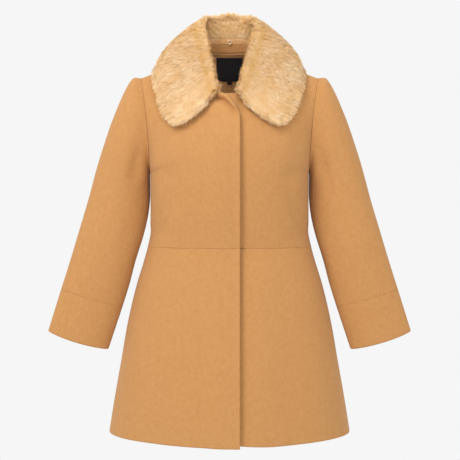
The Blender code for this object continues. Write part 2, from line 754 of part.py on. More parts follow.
# Sleeves: the cuff seam's gap is half below the last row of the sleeve and half above the cuff's first
cuff_length = math.dist(SLEEVE[CUFF_ROW][:2], SLEEVE[-1][:2])
half_gap = SEAM / cuff_length / 2
sleeve_rows = np.arange(0, CUFF_ROW + SLEEVE_ROW_STEP / 2, SLEEVE_ROW_STEP)
sleeve_rows[-1] -= half_gap
cuff_rows = np.linspace(CUFF_ROW + half_gap, len(SLEEVE) - 1, CUFF_ROWS + 1)
top_span = (BACK_SLEEVE_SEAM - FULL_TURN, FRONT_SLEEVE_SEAM)
under_span = (FRONT_SLEEVE_SEAM, BACK_SLEEVE_SEAM)
for side_name, side in (("left", 1), ("right", -1)):
    for part_name, rows in (("sleeve", sleeve_rows), ("cuff", cuff_rows)):
        top = sleeve_points(rows, *top_span, TOP_SLEEVE_COLUMNS)
        under = sleeve_points(rows, *under_span, UNDER_SLEEVE_COLUMNS)
        if side < 0:
            top, under = mirrored(top), mirrored(under)
        add_panel(f"{part_name}_top_{side_name}", top, (side, 0, 0), cloth_look)
        add_panel(f"{part_name}_under_{side_name}", under, (-side, 0, 0), cloth_look)

# Neckband, collar band and fur collar
neckband_points = band_points(0, NECKBAND_CLEAR, NECKBAND_BACK, NECKBAND_FRONT)
collar_band_points = band_points(
    NECKBAND_BACK,
    NECKBAND_FRONT,
    NECKBAND_BACK + COLLAR_BAND_BACK,
    NECKBAND_FRONT + COLLAR_BAND_FRONT,
)
neckband = add_panel("neckband", neckband_points, (0, -1, 0), cloth_look)
add_panel("collar_band", collar_band_points, (0, -1, 0), inside_look)
bodice = surfaces_of([front_left, front_right, back, neckband])
last_station = len(FUR_COLLAR) - 1
stations = np.linspace(0, last_station, last_station * COLLAR_ROWS_PER_STATION + 1)
left_collar = [collar_section(station, 1, bodice) for station in stations]
right_collar = [collar_section(station, -1, bodice) for station in stations]
add_fur_collar("fur_collar", np.array(left_collar[::-1] + right_collar[1:]), fur_look)

# Inside of the back neck
facing_outer, facing_normals = facing_points(back_points)
facing = add_wall("back_neck_facing", facing_outer, facing_normals, FACING_CLOTH, inside_look)
add_patch("neck_label", LABEL_SIZE, LABEL_TOP, surfaces_of([facing]), label_look)
add_patch("size_tab", TAB_SIZE, TAB_TOP, surfaces_of([facing]), label_look)
add_button("collar_button", button_look)
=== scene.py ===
"""A long A-line coat of camel wool cloth with a pale gold fur collar, filled out as it is when it is worn.

Sizes are in millimetres and the meshes in metres. X runs across the coat, towards the wearer's left,
-Y is the front and Z is up. The origin is between the neck points, where the shoulders carry the coat.
"""

import math
from collections import namedtuple

import bpy
import numpy as np
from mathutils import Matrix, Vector
from mathutils.bvhtree import BVHTree
from mathutils.kdtree import KDTree


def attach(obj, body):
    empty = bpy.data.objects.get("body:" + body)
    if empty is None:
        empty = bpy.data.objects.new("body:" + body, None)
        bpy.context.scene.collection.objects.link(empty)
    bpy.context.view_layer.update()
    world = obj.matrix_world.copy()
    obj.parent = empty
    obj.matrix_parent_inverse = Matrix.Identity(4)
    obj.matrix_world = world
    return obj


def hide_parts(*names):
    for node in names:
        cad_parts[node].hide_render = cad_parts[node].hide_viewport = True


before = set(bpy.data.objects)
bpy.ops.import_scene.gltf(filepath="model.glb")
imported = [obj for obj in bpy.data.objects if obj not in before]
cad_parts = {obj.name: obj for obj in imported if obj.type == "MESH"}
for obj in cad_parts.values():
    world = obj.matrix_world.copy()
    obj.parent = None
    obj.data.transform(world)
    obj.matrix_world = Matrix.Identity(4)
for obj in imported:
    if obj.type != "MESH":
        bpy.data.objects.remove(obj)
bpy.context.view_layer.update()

MM = 0.001


# ---------------------------------------------------------------------------------------------------
# The studio: a plain pale floor well under the hem and an even pale surround. One large soft lamp stands at
# the upper left, a weaker one in front and a small one above. The camera is 3.3 m in front, at armpit height.
# ---------------------------------------------------------------------------------------------------

PAPER = (0.922, 0.922, 0.922, 1.0)
FLOOR_HEIGHT = -1300.0
FLOOR_SIDE = 60000.0

CAMERA_PLACE = (1.1, -3300.0, -247.5)
PICTURE_MIDDLE = (1.1, 0.0, -382.5)
PICTURE_WIDTH = 1035.0
FILM_WIDTH = 36.0

Lamp = namedtuple("Lamp", "name place aim side watts tint")
LAMPS = (
    Lamp("key_lamp", (-1900, -2300, 2500), (0, 0, -300), 1600, 72, (1.0, 0.985, 0.96)),
    Lamp("top_lamp", (-200, -1000, 1000), (0, 0, -100), 700, 3.6, (1.0, 1.0, 1.0)),
    Lamp("fill_lamp", (700, -3300, 400), (0, 0, -300), 1500, 21, (1.0, 1.0, 1.0)),
)


def new_look(name):
    """A new material, with its nodes and its shader."""
    look = bpy.data.materials.new(name)
    look.use_nodes = True
    return look, look.node_tree, look.node_tree.nodes["Principled BSDF"]


def add_mesh(name, points, faces, look, edges=(), smooth=True):
    """A new object in the scene, from points in millimetres."""
    mesh = bpy.data.meshes.new(name)
    mesh.from_pydata((np.reshape(points, (-1, 3)) * MM).tolist(), edges, faces)
    if smooth:
        mesh.shade_smooth()
    mesh.materials.append(look)
    thing = bpy.data.objects.new(name, mesh)
    bpy.context.scene.collection.objects.link(thing)
    return thing


def pale_paper():
    """Evenly lit white paper, as bright as the surround."""
    paper, _, shader = new_look("pale_paper")
    shader.inputs["Base Color"].default_value = (0.0, 0.0, 0.0, 1.0)
    shader.inputs["Specular IOR Level"].default_value = 0.0
    shader.inputs["Emission Color"].default_value = PAPER
    shader.inputs["Emission Strength"].default_value = 1.0
    return paper


def aimed(thing, place, aim):
    """A lamp or camera, put in its place and turned to what it is aimed at."""
    thing.location = Vector(place) * MM
    thing.rotation_euler = (Vector(aim) - Vector(place)).to_track_quat("-Z", "Y").to_euler()
    bpy.context.scene.collection.objects.link(thing)


half_floor = FLOOR_SIDE / 2
floor_corners = [
    (x * half_floor, y * half_floor, FLOOR_HEIGHT) for x, y in ((-1, -1), (1, -1), (1, 1), (-1, 1))
]
pale_floor = add_mesh("pale_floor", floor_corners, [(0, 1, 2, 3)], pale_paper(), smooth=False)

surround = bpy.data.worlds.new("pale_surround")
surround.use_nodes = True
surround.node_tree.nodes["Background"].inputs["Color"].default_value = PAPER
bpy.context.scene.world = surround
bpy.context.scene.view_settings.view_transform = "Standard"

for lamp in LAMPS:
    light = bpy.data.lights.new(lamp.name, "AREA")
    light.shape = "DISK"
    light.size = lamp.side * MM
    light.energy = lamp.watts
    light.color = lamp.tint
    aimed(bpy.data.objects.new(lamp.name, light), lamp.place, lamp.aim)

camera_data = bpy.data.cameras.new("camera")
camera_data.sensor_width = FILM_WIDTH
camera_data.lens = FILM_WIDTH * math.dist(CAMERA_PLACE, PICTURE_MIDDLE) / PICTURE_WIDTH
camera = bpy.data.objects.new("camera", camera_data)
aimed(camera, CAMERA_PLACE, PICTURE_MIDDLE)
bpy.context.scene.camera = camera


# ---------------------------------------------------------------------------------------------------
# The bodice: two fronts and a back of thick camel wool cloth, brushed to a short nap. The wearer's right
# front laps over the left one. Each panel is a thin shell with its seam edges pressed in, its free edges
# turned in round, and its soft folds laid in.
# ---------------------------------------------------------------------------------------------------

CLOTH = 2.5
SEAM = 0.12
# How boxy the body is in section, at the chest and at the hem: 0.55 is an oval
CHEST_FULLNESS = 0.66
HEM_FULLNESS = 0.57
DENSE = 61

WAIST = -418.0
ARMPIT = -252.0
SHOULDER_POINT = np.array([197.0, 5.0, -42.0])
ARMPIT_POINT = np.array([178.0, 0.0, ARMPIT])
ARMHOLE_FRONT = 52.0
ARMHOLE_BACK = 58.0
ARMHOLE_BOW = 4.4
NECK_HALF_WIDTH = 80.0
NECK_FRONT = -80.0
NECK_BACK = 19.0
CORNER_WIDTH = 28.0
CORNER_DROP = 48.0
CORNER_SLOPE = 0.7
CORNER_POWER = 1.25

OVERLAP = 23.0
UNDERLAP = 22.0
LAP_LIFT = 7.4
LAP_EXTRA_CLOTH = 0.8
LAP_START = 62.0
LAP_END = 26.0
LAP_WAY = np.array([0.0, -1.0, 0.0])

BODICE_ROWS = 56
BODICE_ROW_POWER = 1.35
NORMAL_STEP = 0.01
SHOULDER_TURN = 12.0
SHOULDER_COLUMNS = 18
NECK_COLUMNS = 14
CORNER_COLUMNS = 12
CORNER_EDGE_COLUMNS = 5
# How far from an edge the rows nearest to it lie, so that the edge's round has points to turn on
EDGE_ROWS = np.array([0.0, 0.4, 1.0, 2.0, 3.4, 5.2, 7.5])
# The share of a piece's width that these rows may take up at one edge
NEAR_EDGE = 0.4
SHORTEST_RUN = 1e-9

BodyRow = namedtuple("BodyRow", "height half_width front back")
BODY = (
    BodyRow(height=-846, half_width=273, front=172, back=170),
    BodyRow(height=-765, half_width=260, front=164, back=162),
    BodyRow(height=-675, half_width=244, front=154, back=152),
    BodyRow(height=-585, half_width=228, front=143, back=141),
    BodyRow(height=-495, half_width=206, front=132, back=129),
    BodyRow(height=-450, half_width=192, front=126, back=121),
    BodyRow(height=-421, half_width=184, front=123, back=116),
    BodyRow(height=-380, half_width=177, front=121, back=113),
    BodyRow(height=-330, half_width=177.3, front=131, back=114),
    BodyRow(height=-252, half_width=178, front=143, back=119),
)

# The middle of the bodice, from the waist (level 0) past the armpit (1) to the shoulder seams (2)
ProfileRow = namedtuple("ProfileRow", "level depth height")
FRONT_PROFILE = (
    ProfileRow(level=0.0, depth=-123, height=-418),
    ProfileRow(level=0.5, depth=-134, height=-330),
    ProfileRow(level=1.0, depth=-142, height=-235),
    ProfileRow(level=1.3, depth=-135, height=-165),
    ProfileRow(level=1.55, depth=-112, height=-106),
    ProfileRow(level=2.0, depth=5, height=27),
)
BACK_PROFILE = (
    ProfileRow(level=0.0, depth=116, height=-418),
    ProfileRow(level=0.5, depth=114, height=-330),
    ProfileRow(level=1.0, depth=120, height=-235),
    ProfileRow(level=1.4, depth=121, height=-135),
    ProfileRow(level=1.7, depth=100, height=-45),
    ProfileRow(level=1.87, depth=66, height=19),
    ProfileRow(level=2.0, depth=5, height=27),
)

# Soft folds, from one end to the other as seen from the front or the back; a ridge has a depth below 0
Fold = namedtuple("Fold", "top_x top_z bottom_x bottom_z spread depth")
BUST_FOLDS = (
    Fold(top_x=124, top_z=-262, bottom_x=158, bottom_z=-382, spread=13, depth=3.0),
    Fold(top_x=150, top_z=-180, bottom_x=140, bottom_z=-262, spread=14, depth=2.5),
)
RIGHT_FRONT_FOLDS = BUST_FOLDS + (
    Fold(top_x=-20, top_z=-130, bottom_x=-20, bottom_z=-430, spread=5, depth=-1.5),
    Fold(top_x=-9, top_z=-125, bottom_x=-9, bottom_z=-430, spread=5, depth=0.6),
    Fold(top_x=4, top_z=-140, bottom_x=4, bottom_z=-430, spread=3, depth=-0.4),
    Fold(top_x=150, top_z=-300, bottom_x=172, bottom_z=-372, spread=9, depth=-1.2),
    Fold(top_x=66, top_z=-250, bottom_x=128, bottom_z=-240, spread=7, depth=0.7),
    Fold(top_x=96, top_z=-330, bottom_x=126, bottom_z=-405, spread=14, depth=-1.0),
    Fold(top_x=34, top_z=-150, bottom_x=30, bottom_z=-400, spread=15, depth=0.8),
)
LEFT_FRONT_FOLDS = BUST_FOLDS + (
    Fold(top_x=24, top_z=-100, bottom_x=24, bottom_z=-430, spread=9, depth=5.0),
    Fold(top_x=150, top_z=-285, bottom_x=170, bottom_z=-366, spread=10, depth=-1.1),
    Fold(top_x=90, top_z=-300, bottom_x=108, bottom_z=-400, spread=16, depth=-0.9),
    Fold(top_x=118, top_z=-150, bottom_x=100, bottom_z=-215, spread=13, depth=0.8),
)
BACK_FOLDS = (
    Fold(top_x=-118, top_z=-130, bottom_x=-92, bottom_z=-255, spread=16, depth=2.2),
    Fold(top_x=122, top_z=-150, bottom_x=104, bottom_z=-270, spread=14, depth=2.0),
    Fold(top_x=-70, top_z=-330, bottom_x=-128, bottom_z=-398, spread=12, depth=1.6),
    Fold(top_x=84, top_z=-345, bottom_x=134, bottom_z=-392, spread=11, depth=1.4),
    Fold(top_x=-12, top_z=-90, bottom_x=10, bottom_z=-300, spread=22, depth=1.2),
)

# The rolled edge of the overlap's neck: a ridge and a groove beside it, both fading down the front edge
NeckWave = namedtuple("NeckWave", "away spread height")
NECK_WAVES = (
    NeckWave(away=9.0, spread=6.5, height=10.0),
    NeckWave(away=23.0, spread=6.5, height=-11.0),
)
NECK_WAVE_START = -134.0
NECK_WAVE_FULL = -104.0
# The roll is this much narrower where it has come down to the front edge
NECK_WAVE_TAPER = 0.5
NECK_WAVE_NARROW = -125.0
NECK_WAVE_SIDE = (52.0, 24.0)

# How a panel's edge turns in: over what width, and how far its outer and its inner side sink
EdgeFinish = namedtuple("EdgeFinish", "width outer inner")
SEWN = EdgeFinish(width=1.0, outer=0.32, inner=0.0)
TURNED = EdgeFinish(width=3.4, outer=1.3, inner=0.9)
FRONT_FOLD = EdgeFinish(width=1.9, outer=1.1, inner=0.9)
NECK_ROLL = EdgeFinish(width=9.0, outer=2.6, inner=0.2)

CAMEL = (0.505, 0.252, 0.090)
CAMEL_SHADE = (0.455, 0.216, 0.072)
WOOL_SHEEN = (1.0, 0.80, 0.58, 1.0)
WOOL_MOTTLE = (0.72, 1.28)
# The nap's marks are about three times as long down the cloth as across it
NAP_STRETCH = (1.0, 1.0, 0.35)


def add_node(tree, kind, **settings):
    """A shader node with its sockets and choices set by name."""
    node = tree.nodes.new(kind)
    for name, value in settings.items():
        socket = name.replace("_", " ").title()
        if socket in node.inputs:
            node.inputs[socket].default_value = value
        else:
            setattr(node, name, value)
    return node


def mixed(tree, low, high, factor):
    """A colour that runs from one to the other; each of the three is fixed or comes from a node."""
    colours = add_node(tree, "ShaderNodeMix", data_type="RGBA")
    for name, value in (("A", low), ("B", high), ("Factor", factor)):
        if isinstance(value, bpy.types.NodeSocket):
            tree.links.new(value, colours.inputs[name])
        else:
            colours.inputs[name].default_value = (*value, 1.0) if isinstance(value, tuple) else value
    return colours.outputs["Result"]


def marks(tree, kind, place, **settings):
    """How strong a texture's marks are at each place."""
    texture = add_node(tree, kind, **settings)
    tree.links.new(place, texture.inputs["Vector"])
    return texture.outputs["Fac"]


def together(tree, operation, one, two):
    """Two nodes' values, added or multiplied."""
    both = add_node(tree, "ShaderNodeMath", operation=operation)
    tree.links.new(one, both.inputs[0])
    tree.links.new(two, both.inputs[1])
    return both.outputs[0]


def raised(tree, height, strength, distance, over=None):
    """The way a surface faces where marks stand up from it, or over other marks."""
    bump = add_node(tree, "ShaderNodeBump", strength=strength, distance=distance)
    tree.links.new(height, bump.inputs["Height"])
    if over is not None:
        tree.links.new(over, bump.inputs["Normal"])
    return bump.outputs["Normal"]


def spread_out(tree, value, lowest, highest):
    """A node's value, brought from this range to that from 0 to 1."""
    spread = add_node(tree, "ShaderNodeMapRange", from_min=lowest, from_max=highest)
    tree.links.new(value, spread.inputs["Value"])
    return spread.outputs["Result"]


def brushed_wool(name, light, shade):
    """Wool cloth with a short brushed nap: soft mottling, fine fibres that run down it, a dull sheen."""
    wool, tree, shader = new_look(name)
    link = tree.links.new
    place = add_node(tree, "ShaderNodeTexCoord").outputs["Object"]
    nap = add_node(tree, "ShaderNodeMapping")
    nap.inputs["Scale"].default_value = NAP_STRETCH
    link(place, nap.inputs["Vector"])
    down = nap.outputs["Vector"]
    patches = marks(tree, "ShaderNodeTexNoise", place, scale=95.0, detail=4.0, roughness=0.68)
    tufts = marks(tree, "ShaderNodeTexNoise", down, scale=330.0, detail=3.0, roughness=0.6)
    fibres = marks(tree, "ShaderNodeTexNoise", down, scale=1500.0, detail=2.0, roughness=0.6)
    patchy = spread_out(tree, together(tree, "ADD", patches, tufts), *WOOL_MOTTLE)
    link(mixed(tree, shade, light, patchy), shader.inputs["Base Color"])
    felt = raised(tree, tufts, strength=0.55, distance=0.0009)
    hairs = raised(tree, fibres, strength=0.5, distance=0.0004, over=felt)
    link(hairs, shader.inputs["Normal"])
    shader.inputs["Roughness"].default_value = 0.93
    shader.inputs["Specular IOR Level"].default_value = 0.15
    shader.inputs["Sheen Weight"].default_value = 0.16
    shader.inputs["Sheen Roughness"].default_value = 0.55
    shader.inputs["Sheen Tint"].default_value = WOOL_SHEEN
    return wool


coat_wool = brushed_wool("coat_wool", CAMEL, CAMEL_SHADE)


def smooth_through(stations, values):
    """A function whose value runs smoothly through the given ones and is level where they turn."""
    stations = np.array(stations, float)
    values = np.array(values, float).reshape(len(stations), -1)
    rises = np.diff(values, axis=0) / np.diff(stations)[:, None]
    slopes = np.gradient(values, stations, axis=0)
    slopes[1:-1][rises[:-1] * rises[1:] <= 0] = 0

    def value(station):
        station = min(max(station, stations[0]), stations[-1])
        i = min(int(np.searchsorted(stations, station, side="right")) - 1, len(stations) - 2)
        width = stations[i + 1] - stations[i]
        t = (station - stations[i]) / width
        start = (1 + 2 * t) * (1 - t) ** 2 * values[i] + t * (1 - t) ** 2 * width * slopes[i]
        end = t**2 * (3 - 2 * t) * values[i + 1] - t**2 * (1 - t) * width * slopes[i + 1]
        return start + end

    return value


def bezier(start, start_handle, end_handle, end, count):
    """Points along a curve that leaves its start and reaches its end by these handles."""
    t = np.linspace(0, 1, count)[:, None]
    return (
        (1 - t) ** 3 * start
        + 3 * (1 - t) ** 2 * t * start_handle
        + 3 * (1 - t) * t**2 * end_handle
        + t**3 * end
    )


def ease(value):
    """From 0 to 1, slow at both ends."""
    value = np.clip(value, 0.0, 1.0)
    return value * value * (3 - 2 * value)


def unit(vectors):
    return vectors / np.linalg.norm(vectors, axis=-1, keepdims=True)


def arc_lengths(line):
    """How far along a line each of its points is."""
    return np.concatenate([[0], np.cumsum(np.linalg.norm(np.diff(line, axis=0), axis=1))])


def points_along(line, distances):
    arcs = arc_lengths(line)
    return np.stack([np.interp(distances, arcs, line[:, axis]) for axis in range(3)], axis=-1)


def mirrored(points):
    return points * np.array([-1.0, 1.0, 1.0])


def grid_normals(points, facing):
    """The normal at each point of a grid, on the side that faces a direction."""
    down = np.gradient(points, axis=0, edge_order=1)
    across = np.gradient(points, axis=1, edge_order=1)
    normals = unit(np.cross(down, across))
    return normals if (normals.sum(axis=(0, 1)) @ np.array(facing)) > 0 else -normals


def graded(count, length, first=True, last=True):
    """Steps from 0 to 1 that are even but for closer ones near the edges that are named."""
    near = EDGE_ROWS[EDGE_ROWS < NEAR_EDGE * length] / length
    low = near if first else near[:1]
    high = 1 - near[::-1] if last else np.array([1.0])
    return np.concatenate([low[:-1], np.linspace(low[-1], high[0], count), high[1:]])


half_width_at = smooth_through([row.height for row in BODY], [row.half_width for row in BODY])
body_depth_at = {
    "front": smooth_through([row.height for row in BODY], [-row.front for row in BODY]),
    "back": smooth_through([row.height for row in BODY], [row.back for row in BODY]),
}
middle_at = {
    "front": smooth_through([row.level for row in FRONT_PROFILE], [row[1:] for row in FRONT_PROFILE]),
    "back": smooth_through([row.level for row in BACK_PROFILE], [row[1:] for row in BACK_PROFILE]),
}


def half_section(side, middle, flatness=0.0):
    """A line from the side to the middle, between a quarter of an oval (0) and a straight line (1)."""
    part = ease((side[2] - BODY[0].height) / (ARMPIT - BODY[0].height))
    fullness = HEM_FULLNESS + (CHEST_FULLNESS - HEM_FULLNESS) * part
    round_side = side + np.array([0.0, fullness * (middle[1] - side[1]), 0.0])
    round_middle = middle + np.array([fullness * (side[0] - middle[0]), 0.0, 0.0])
    straight_side = side + (middle - side) / 3
    straight_middle = middle + (side - middle) * np.array([1.0, 0.0, 0.0]) / 3
    return bezier(
        side,
        round_side + (straight_side - round_side) * flatness,
        round_middle + (straight_middle - round_middle) * flatness,
        middle,
        DENSE,
    )


def whole_section(half):
    """The line on from the middle to the other side."""
    return np.concatenate([half, mirrored(half)[-2::-1]])


def armhole(angle, face):
    """A point of the armhole seam, from the shoulder point (0 degrees) down to the armpit (180)."""
    middle = (SHOULDER_POINT + ARMPIT_POINT) / 2
    along = (SHOULDER_POINT - ARMPIT_POINT) / 2
    depth = -ARMHOLE_FRONT if face == "front" else ARMHOLE_BACK
    turn = math.radians(angle)
    bow = -ARMHOLE_BOW * math.sin(turn) ** 2
    return middle + along * math.cos(turn) + np.array([bow, depth * math.sin(turn), 0.0])


def bodice_section(level, face):
    """The line across the bodice at a level: the waist (0), the armpit (1), the shoulder seams (2)."""
    if level <= 1:
        height = WAIST + (ARMPIT - WAIST) * level
        side = np.array([half_width_at(height)[0], 0.0, height])
    else:
        side = armhole(180 * (2 - level), face)
    middle = np.array([0.0, *middle_at[face](level)])
    return whole_section(half_section(side, middle, ease(level - 1)))


def distance_to_x(line, x):
    """How far along a section, which runs from +X to -X, it reaches this X."""
    return np.interp(-x, -line[:, 0], arc_lengths(line))


def point_at_share(line, share, end_x):
    """The point a share of the way from the side seam to where the section reaches end_x."""
    length = distance_to_x(line, end_x) - SEAM / 2
    return points_along(line, SEAM / 2 + share * (length - SEAM / 2))


def level_at_height(face, height):
    """The level at which the bodice's middle is at this height, above the armpit."""
    levels = np.linspace(1, 2, DENSE)
    return np.interp(height, [middle_at[face](level)[1] for level in levels], levels)


def neck_level(share, neck_share, low_share, low_level):
    """The level of a bodice's upper edge: its shoulder seam, then the curve down round the neck."""
    part = min(max((share - neck_share) / (low_share - neck_share), 0.0), 1.0)
    return 2 - (2 - low_level) * math.sin(math.pi / 2 * part)


def share_at_x(line, x, end_x):
    return distance_to_x(line, x) / distance_to_x(line, end_x)


def fold_depths(points, folds):
    """How far the soft folds sink the cloth at each point of a grid."""
    depths = np.zeros(points.shape[:2])
    for fold in folds:
        top = np.array([fold.top_x, fold.top_z])
        run = np.array([fold.bottom_x, fold.bottom_z]) - top
        places = points[..., [0, 2]] - top
        part = np.clip(places @ run / (run @ run), 0.0, 1.0)
        away = np.linalg.norm(places - part[..., None] * run, axis=-1)
        depths += fold.depth * np.exp(-((away / fold.spread) ** 2))
    return depths


def lap_share(points):
    """Where the overlap's cloth stands off, from 0 at its start to 1 at the front edge."""
    return ease((LAP_START - points[..., 0]) / (LAP_START - LAP_END))


def bodice_point(level, share, face, end_x=None):
    """A point of the bodice's smooth form, a share of the way from the side seam to its end."""
    line = bodice_section(level, face)
    return point_at_share(line, share, line[-1, 0] if end_x is None else end_x)


def bodice_normal(level, share, face, end_x=None):
    """The way out of the bodice's smooth form, before folds are laid in."""
    high, low = min(level + NORMAL_STEP, 2.0), max(level - NORMAL_STEP, 0.0)
    rise = bodice_point(high, share, face, end_x) - bodice_point(low, share, face, end_x)
    after = bodice_point(level, share + NORMAL_STEP, face, end_x)
    before = bodice_point(level, share - NORMAL_STEP, face, end_x)
    return unit(np.cross(rise, after - before)) * (1 if face == "front" else -1)


def front_bodice_points(end_x, corner_drop):
    """The wearer's left front; the right one is its mirror image with the overlap's sizes."""
    top = bodice_section(2, "front")
    neck_share = share_at_x(top, NECK_HALF_WIDTH, end_x)
    low_level = level_at_height("front", NECK_FRONT)
    low_line = bodice_section(low_level, "front")
    corner_share = share_at_x(low_line, end_x + CORNER_WIDTH, end_x)
    near = EDGE_ROWS / distance_to_x(low_line, end_x)
    corner = corner_share + (1 - corner_share) * np.sin(np.linspace(0, math.pi / 2, CORNER_COLUMNS + 1))
    shares = np.concatenate(
        [
            near[:-1],
            np.linspace(near[-1], neck_share, SHOULDER_COLUMNS, endpoint=False),
            np.linspace(neck_share, corner_share, NECK_COLUMNS, endpoint=False),
            np.union1d(corner, 1 - near[:CORNER_EDGE_COLUMNS]),
        ]
    )
    steps = 1 - (1 - graded(BODICE_ROWS, SHOULDER_POINT[2] - WAIST)) ** BODICE_ROW_POWER
    points = np.empty((len(steps), len(shares), 3))
    normals = np.empty_like(points)
    for column, share in enumerate(shares):
        highest = neck_level(share, neck_share, corner_share, low_level)
        past = min(max(share - corner_share, 0.0) / (1 - corner_share), 1.0)
        drop = CORNER_SLOPE * past**CORNER_POWER + (1 - CORNER_SLOPE) * (1 - math.sqrt(1 - past**2))
        if corner_drop * drop:
            highest = level_at_height("front", NECK_FRONT - corner_drop * drop)
        for row, level in enumerate(highest * steps):
            points[row, column] = bodice_point(level, share, "front", end_x)
            normals[row, column] = bodice_normal(level, share, "front", end_x)
    points[0, :, 2] += SEAM / 2
    at_shoulder = shares <= neck_share
    points[-1, at_shoulder, 1] -= SEAM / 2
    return points, normals, at_shoulder


def back_bodice_points():
    """The back bodice's points, which of its columns end at a shoulder, and how it is divided."""
    top = bodice_section(2, "back")
    full = -SHOULDER_POINT[0]
    neck_share = share_at_x(top, NECK_HALF_WIDTH, full)
    low_level = level_at_height("back", NECK_BACK)
    near = EDGE_ROWS / arc_lengths(bodice_section(1, "back"))[-1]
    half = np.concatenate(
        [
            near[:-1],
            np.linspace(near[-1], neck_share, SHOULDER_COLUMNS, endpoint=False),
            np.linspace(neck_share, 0.5, NECK_COLUMNS + 1),
        ]
    )
    shares = np.concatenate([half, 1 - half[-2::-1]])
    steps = 1 - (1 - graded(BODICE_ROWS, SHOULDER_POINT[2] - WAIST)) ** BODICE_ROW_POWER
    points = np.empty((len(steps), len(shares), 3))
    for column, share in enumerate(shares):
        highest = neck_level(min(share, 1 - share), neck_share, 0.5, low_level)
        for row, level in enumerate(highest * steps):
            line = bodice_section(level, "back")
            points[row, column] = point_at_share(line, share, line[-1, 0])
    points[0, :, 2] += SEAM / 2
    at_shoulder = np.minimum(shares, 1 - shares) <= neck_share
    points[-1, at_shoulder, 1] += SEAM / 2
    return points, at_shoulder, shares, steps, neck_share


def distance_to_edge(points, line):
    """How far each point of a grid is from a line along one of its edges."""
    starts, runs = line[:-1], np.diff(line, axis=0)
    lengths = np.maximum((runs * runs).sum(axis=-1), SHORTEST_RUN)
    away = points.reshape(-1, 1, 3) - starts
    part = np.clip((away * runs).sum(axis=-1) / lengths, 0, 1)
    return np.linalg.norm(away - runs * part[..., None], axis=-1).min(axis=1).reshape(points.shape[:2])


def edge_sinks(points, edges):
    """How far the outer and the inner side of a panel sink towards its edges."""
    outer, inner = np.zeros(points.shape[:2]), np.zeros(points.shape[:2])
    for line, finish in edges:
        part = 1 - np.clip(distance_to_edge(points, line) / finish.width, 0, 1)
        curve = 1 - np.sqrt(1 - part**2)
        outer = np.maximum(outer, finish.outer * curve)
        inner = np.maximum(inner, finish.inner * curve)
    return outer, inner


def sewn_all_round(points, bottom=SEWN, top=SEWN, first=SEWN, last=SEWN):
    """The four edges of a panel with how each is finished."""
    return [(points[0], bottom), (points[-1], top), (points[:, 0], first), (points[:, -1], last)]


def cloth_shell(name, outer, inner, look):
    """A closed shell of cloth between two grids of points."""
    rows, columns = outer.shape[:2]
    at = np.arange(rows * columns).reshape(rows, columns)
    quads = np.stack([at[:-1, :-1], at[1:, :-1], at[1:, 1:], at[:-1, 1:]], axis=-1).reshape(-1, 4)
    rim = np.concatenate([at[:, 0], at[-1, 1:], at[-2::-1, -1], at[0, -2:0:-1]])
    middle = (rows // 2, columns // 2)
    after_row, after_column = (middle[0] + 1, middle[1]), (middle[0], middle[1] + 1)
    corner = np.cross(outer[after_row] - outer[middle], outer[after_column] - outer[middle])
    if corner @ (outer[middle] - inner[middle]) < 0:
        quads = quads[:, ::-1]
        rim = rim[::-1]
    step = rows * columns
    after = np.roll(rim, -1)
    sides = np.stack([after, rim, rim + step, after + step], axis=-1)
    faces = np.concatenate([quads, quads[:, ::-1] + step, sides])
    return add_mesh(name, [outer, inner], faces.tolist(), look)


# The tab is cut this long, with the end that is tucked under the label
SHORTEST_CUT = 10.5


def doubled_areas(points):
    """Twice the area of each face of a grid of points."""
    one, two = points[1:, 1:] - points[:-1, :-1], points[1:, :-1] - points[:-1, 1:]
    return np.linalg.norm(np.cross(one, two), axis=-1)


def cut_size(points):
    """The width and length of the cloth that a grid of points was cut from, in metres."""
    width = max(arc_lengths(row)[-1] for row in points)
    length = max(arc_lengths(column)[-1] for column in points.transpose(1, 0, 2))
    return float(width * MM), float(max(length, SHORTEST_CUT) * MM)


def sew_on(piece, node, points):
    """The piece takes its solid's place; the size of the cloth it was cut from is worked out and not used."""
    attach(piece, "root")
    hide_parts(node)
    flat = cut_size(points)
    return piece


def add_cloth(node, points, normals, edges, thickness=CLOTH, look=coat_wool):
    """A cloth piece over its solid: a shell inwards from its points, with its edges turned in."""
    outer_sink, inner_sink = edge_sinks(points, edges)
    outer = points - normals * outer_sink[..., None]
    inner = points - normals * (thickness - inner_sink)[..., None]
    piece = cloth_shell("cloth_" + node, outer, inner, look)
    return sew_on(piece, node, points)


def folded(points, normals, folds):
    """A panel's points with its soft folds sunk into them."""
    return points - normals * fold_depths(points, folds)[..., None]


def square_shoulders(normals, at_shoulder, points):
    """Towards the shoulder seams the wall turns until it is square to the shoulder's slope."""
    line = bodice_section(2, "front")
    slope = unit(line[DENSE - 1] - line[0])
    for column in np.flatnonzero(at_shoulder):
        side = 1 if points[-1, column, 0] > 0 else -1
        square = np.array([slope[2] * side, 0.0, -slope[0]])
        from_seam = np.linalg.norm(points[:, column] - points[-1, column], axis=-1)
        turn = ease(1 - from_seam / SHOULDER_TURN)[:, None]
        normals[:, column] = unit(normals[:, column] * (1 - turn) + square * turn)
    return normals


def raised_lap(points):
    """The overlap's points, lifted off the underlap, and how thick its doubled cloth is."""
    share = lap_share(points)
    return points + LAP_WAY * (LAP_LIFT * share)[..., None], CLOTH + LAP_EXTRA_CLOTH * share


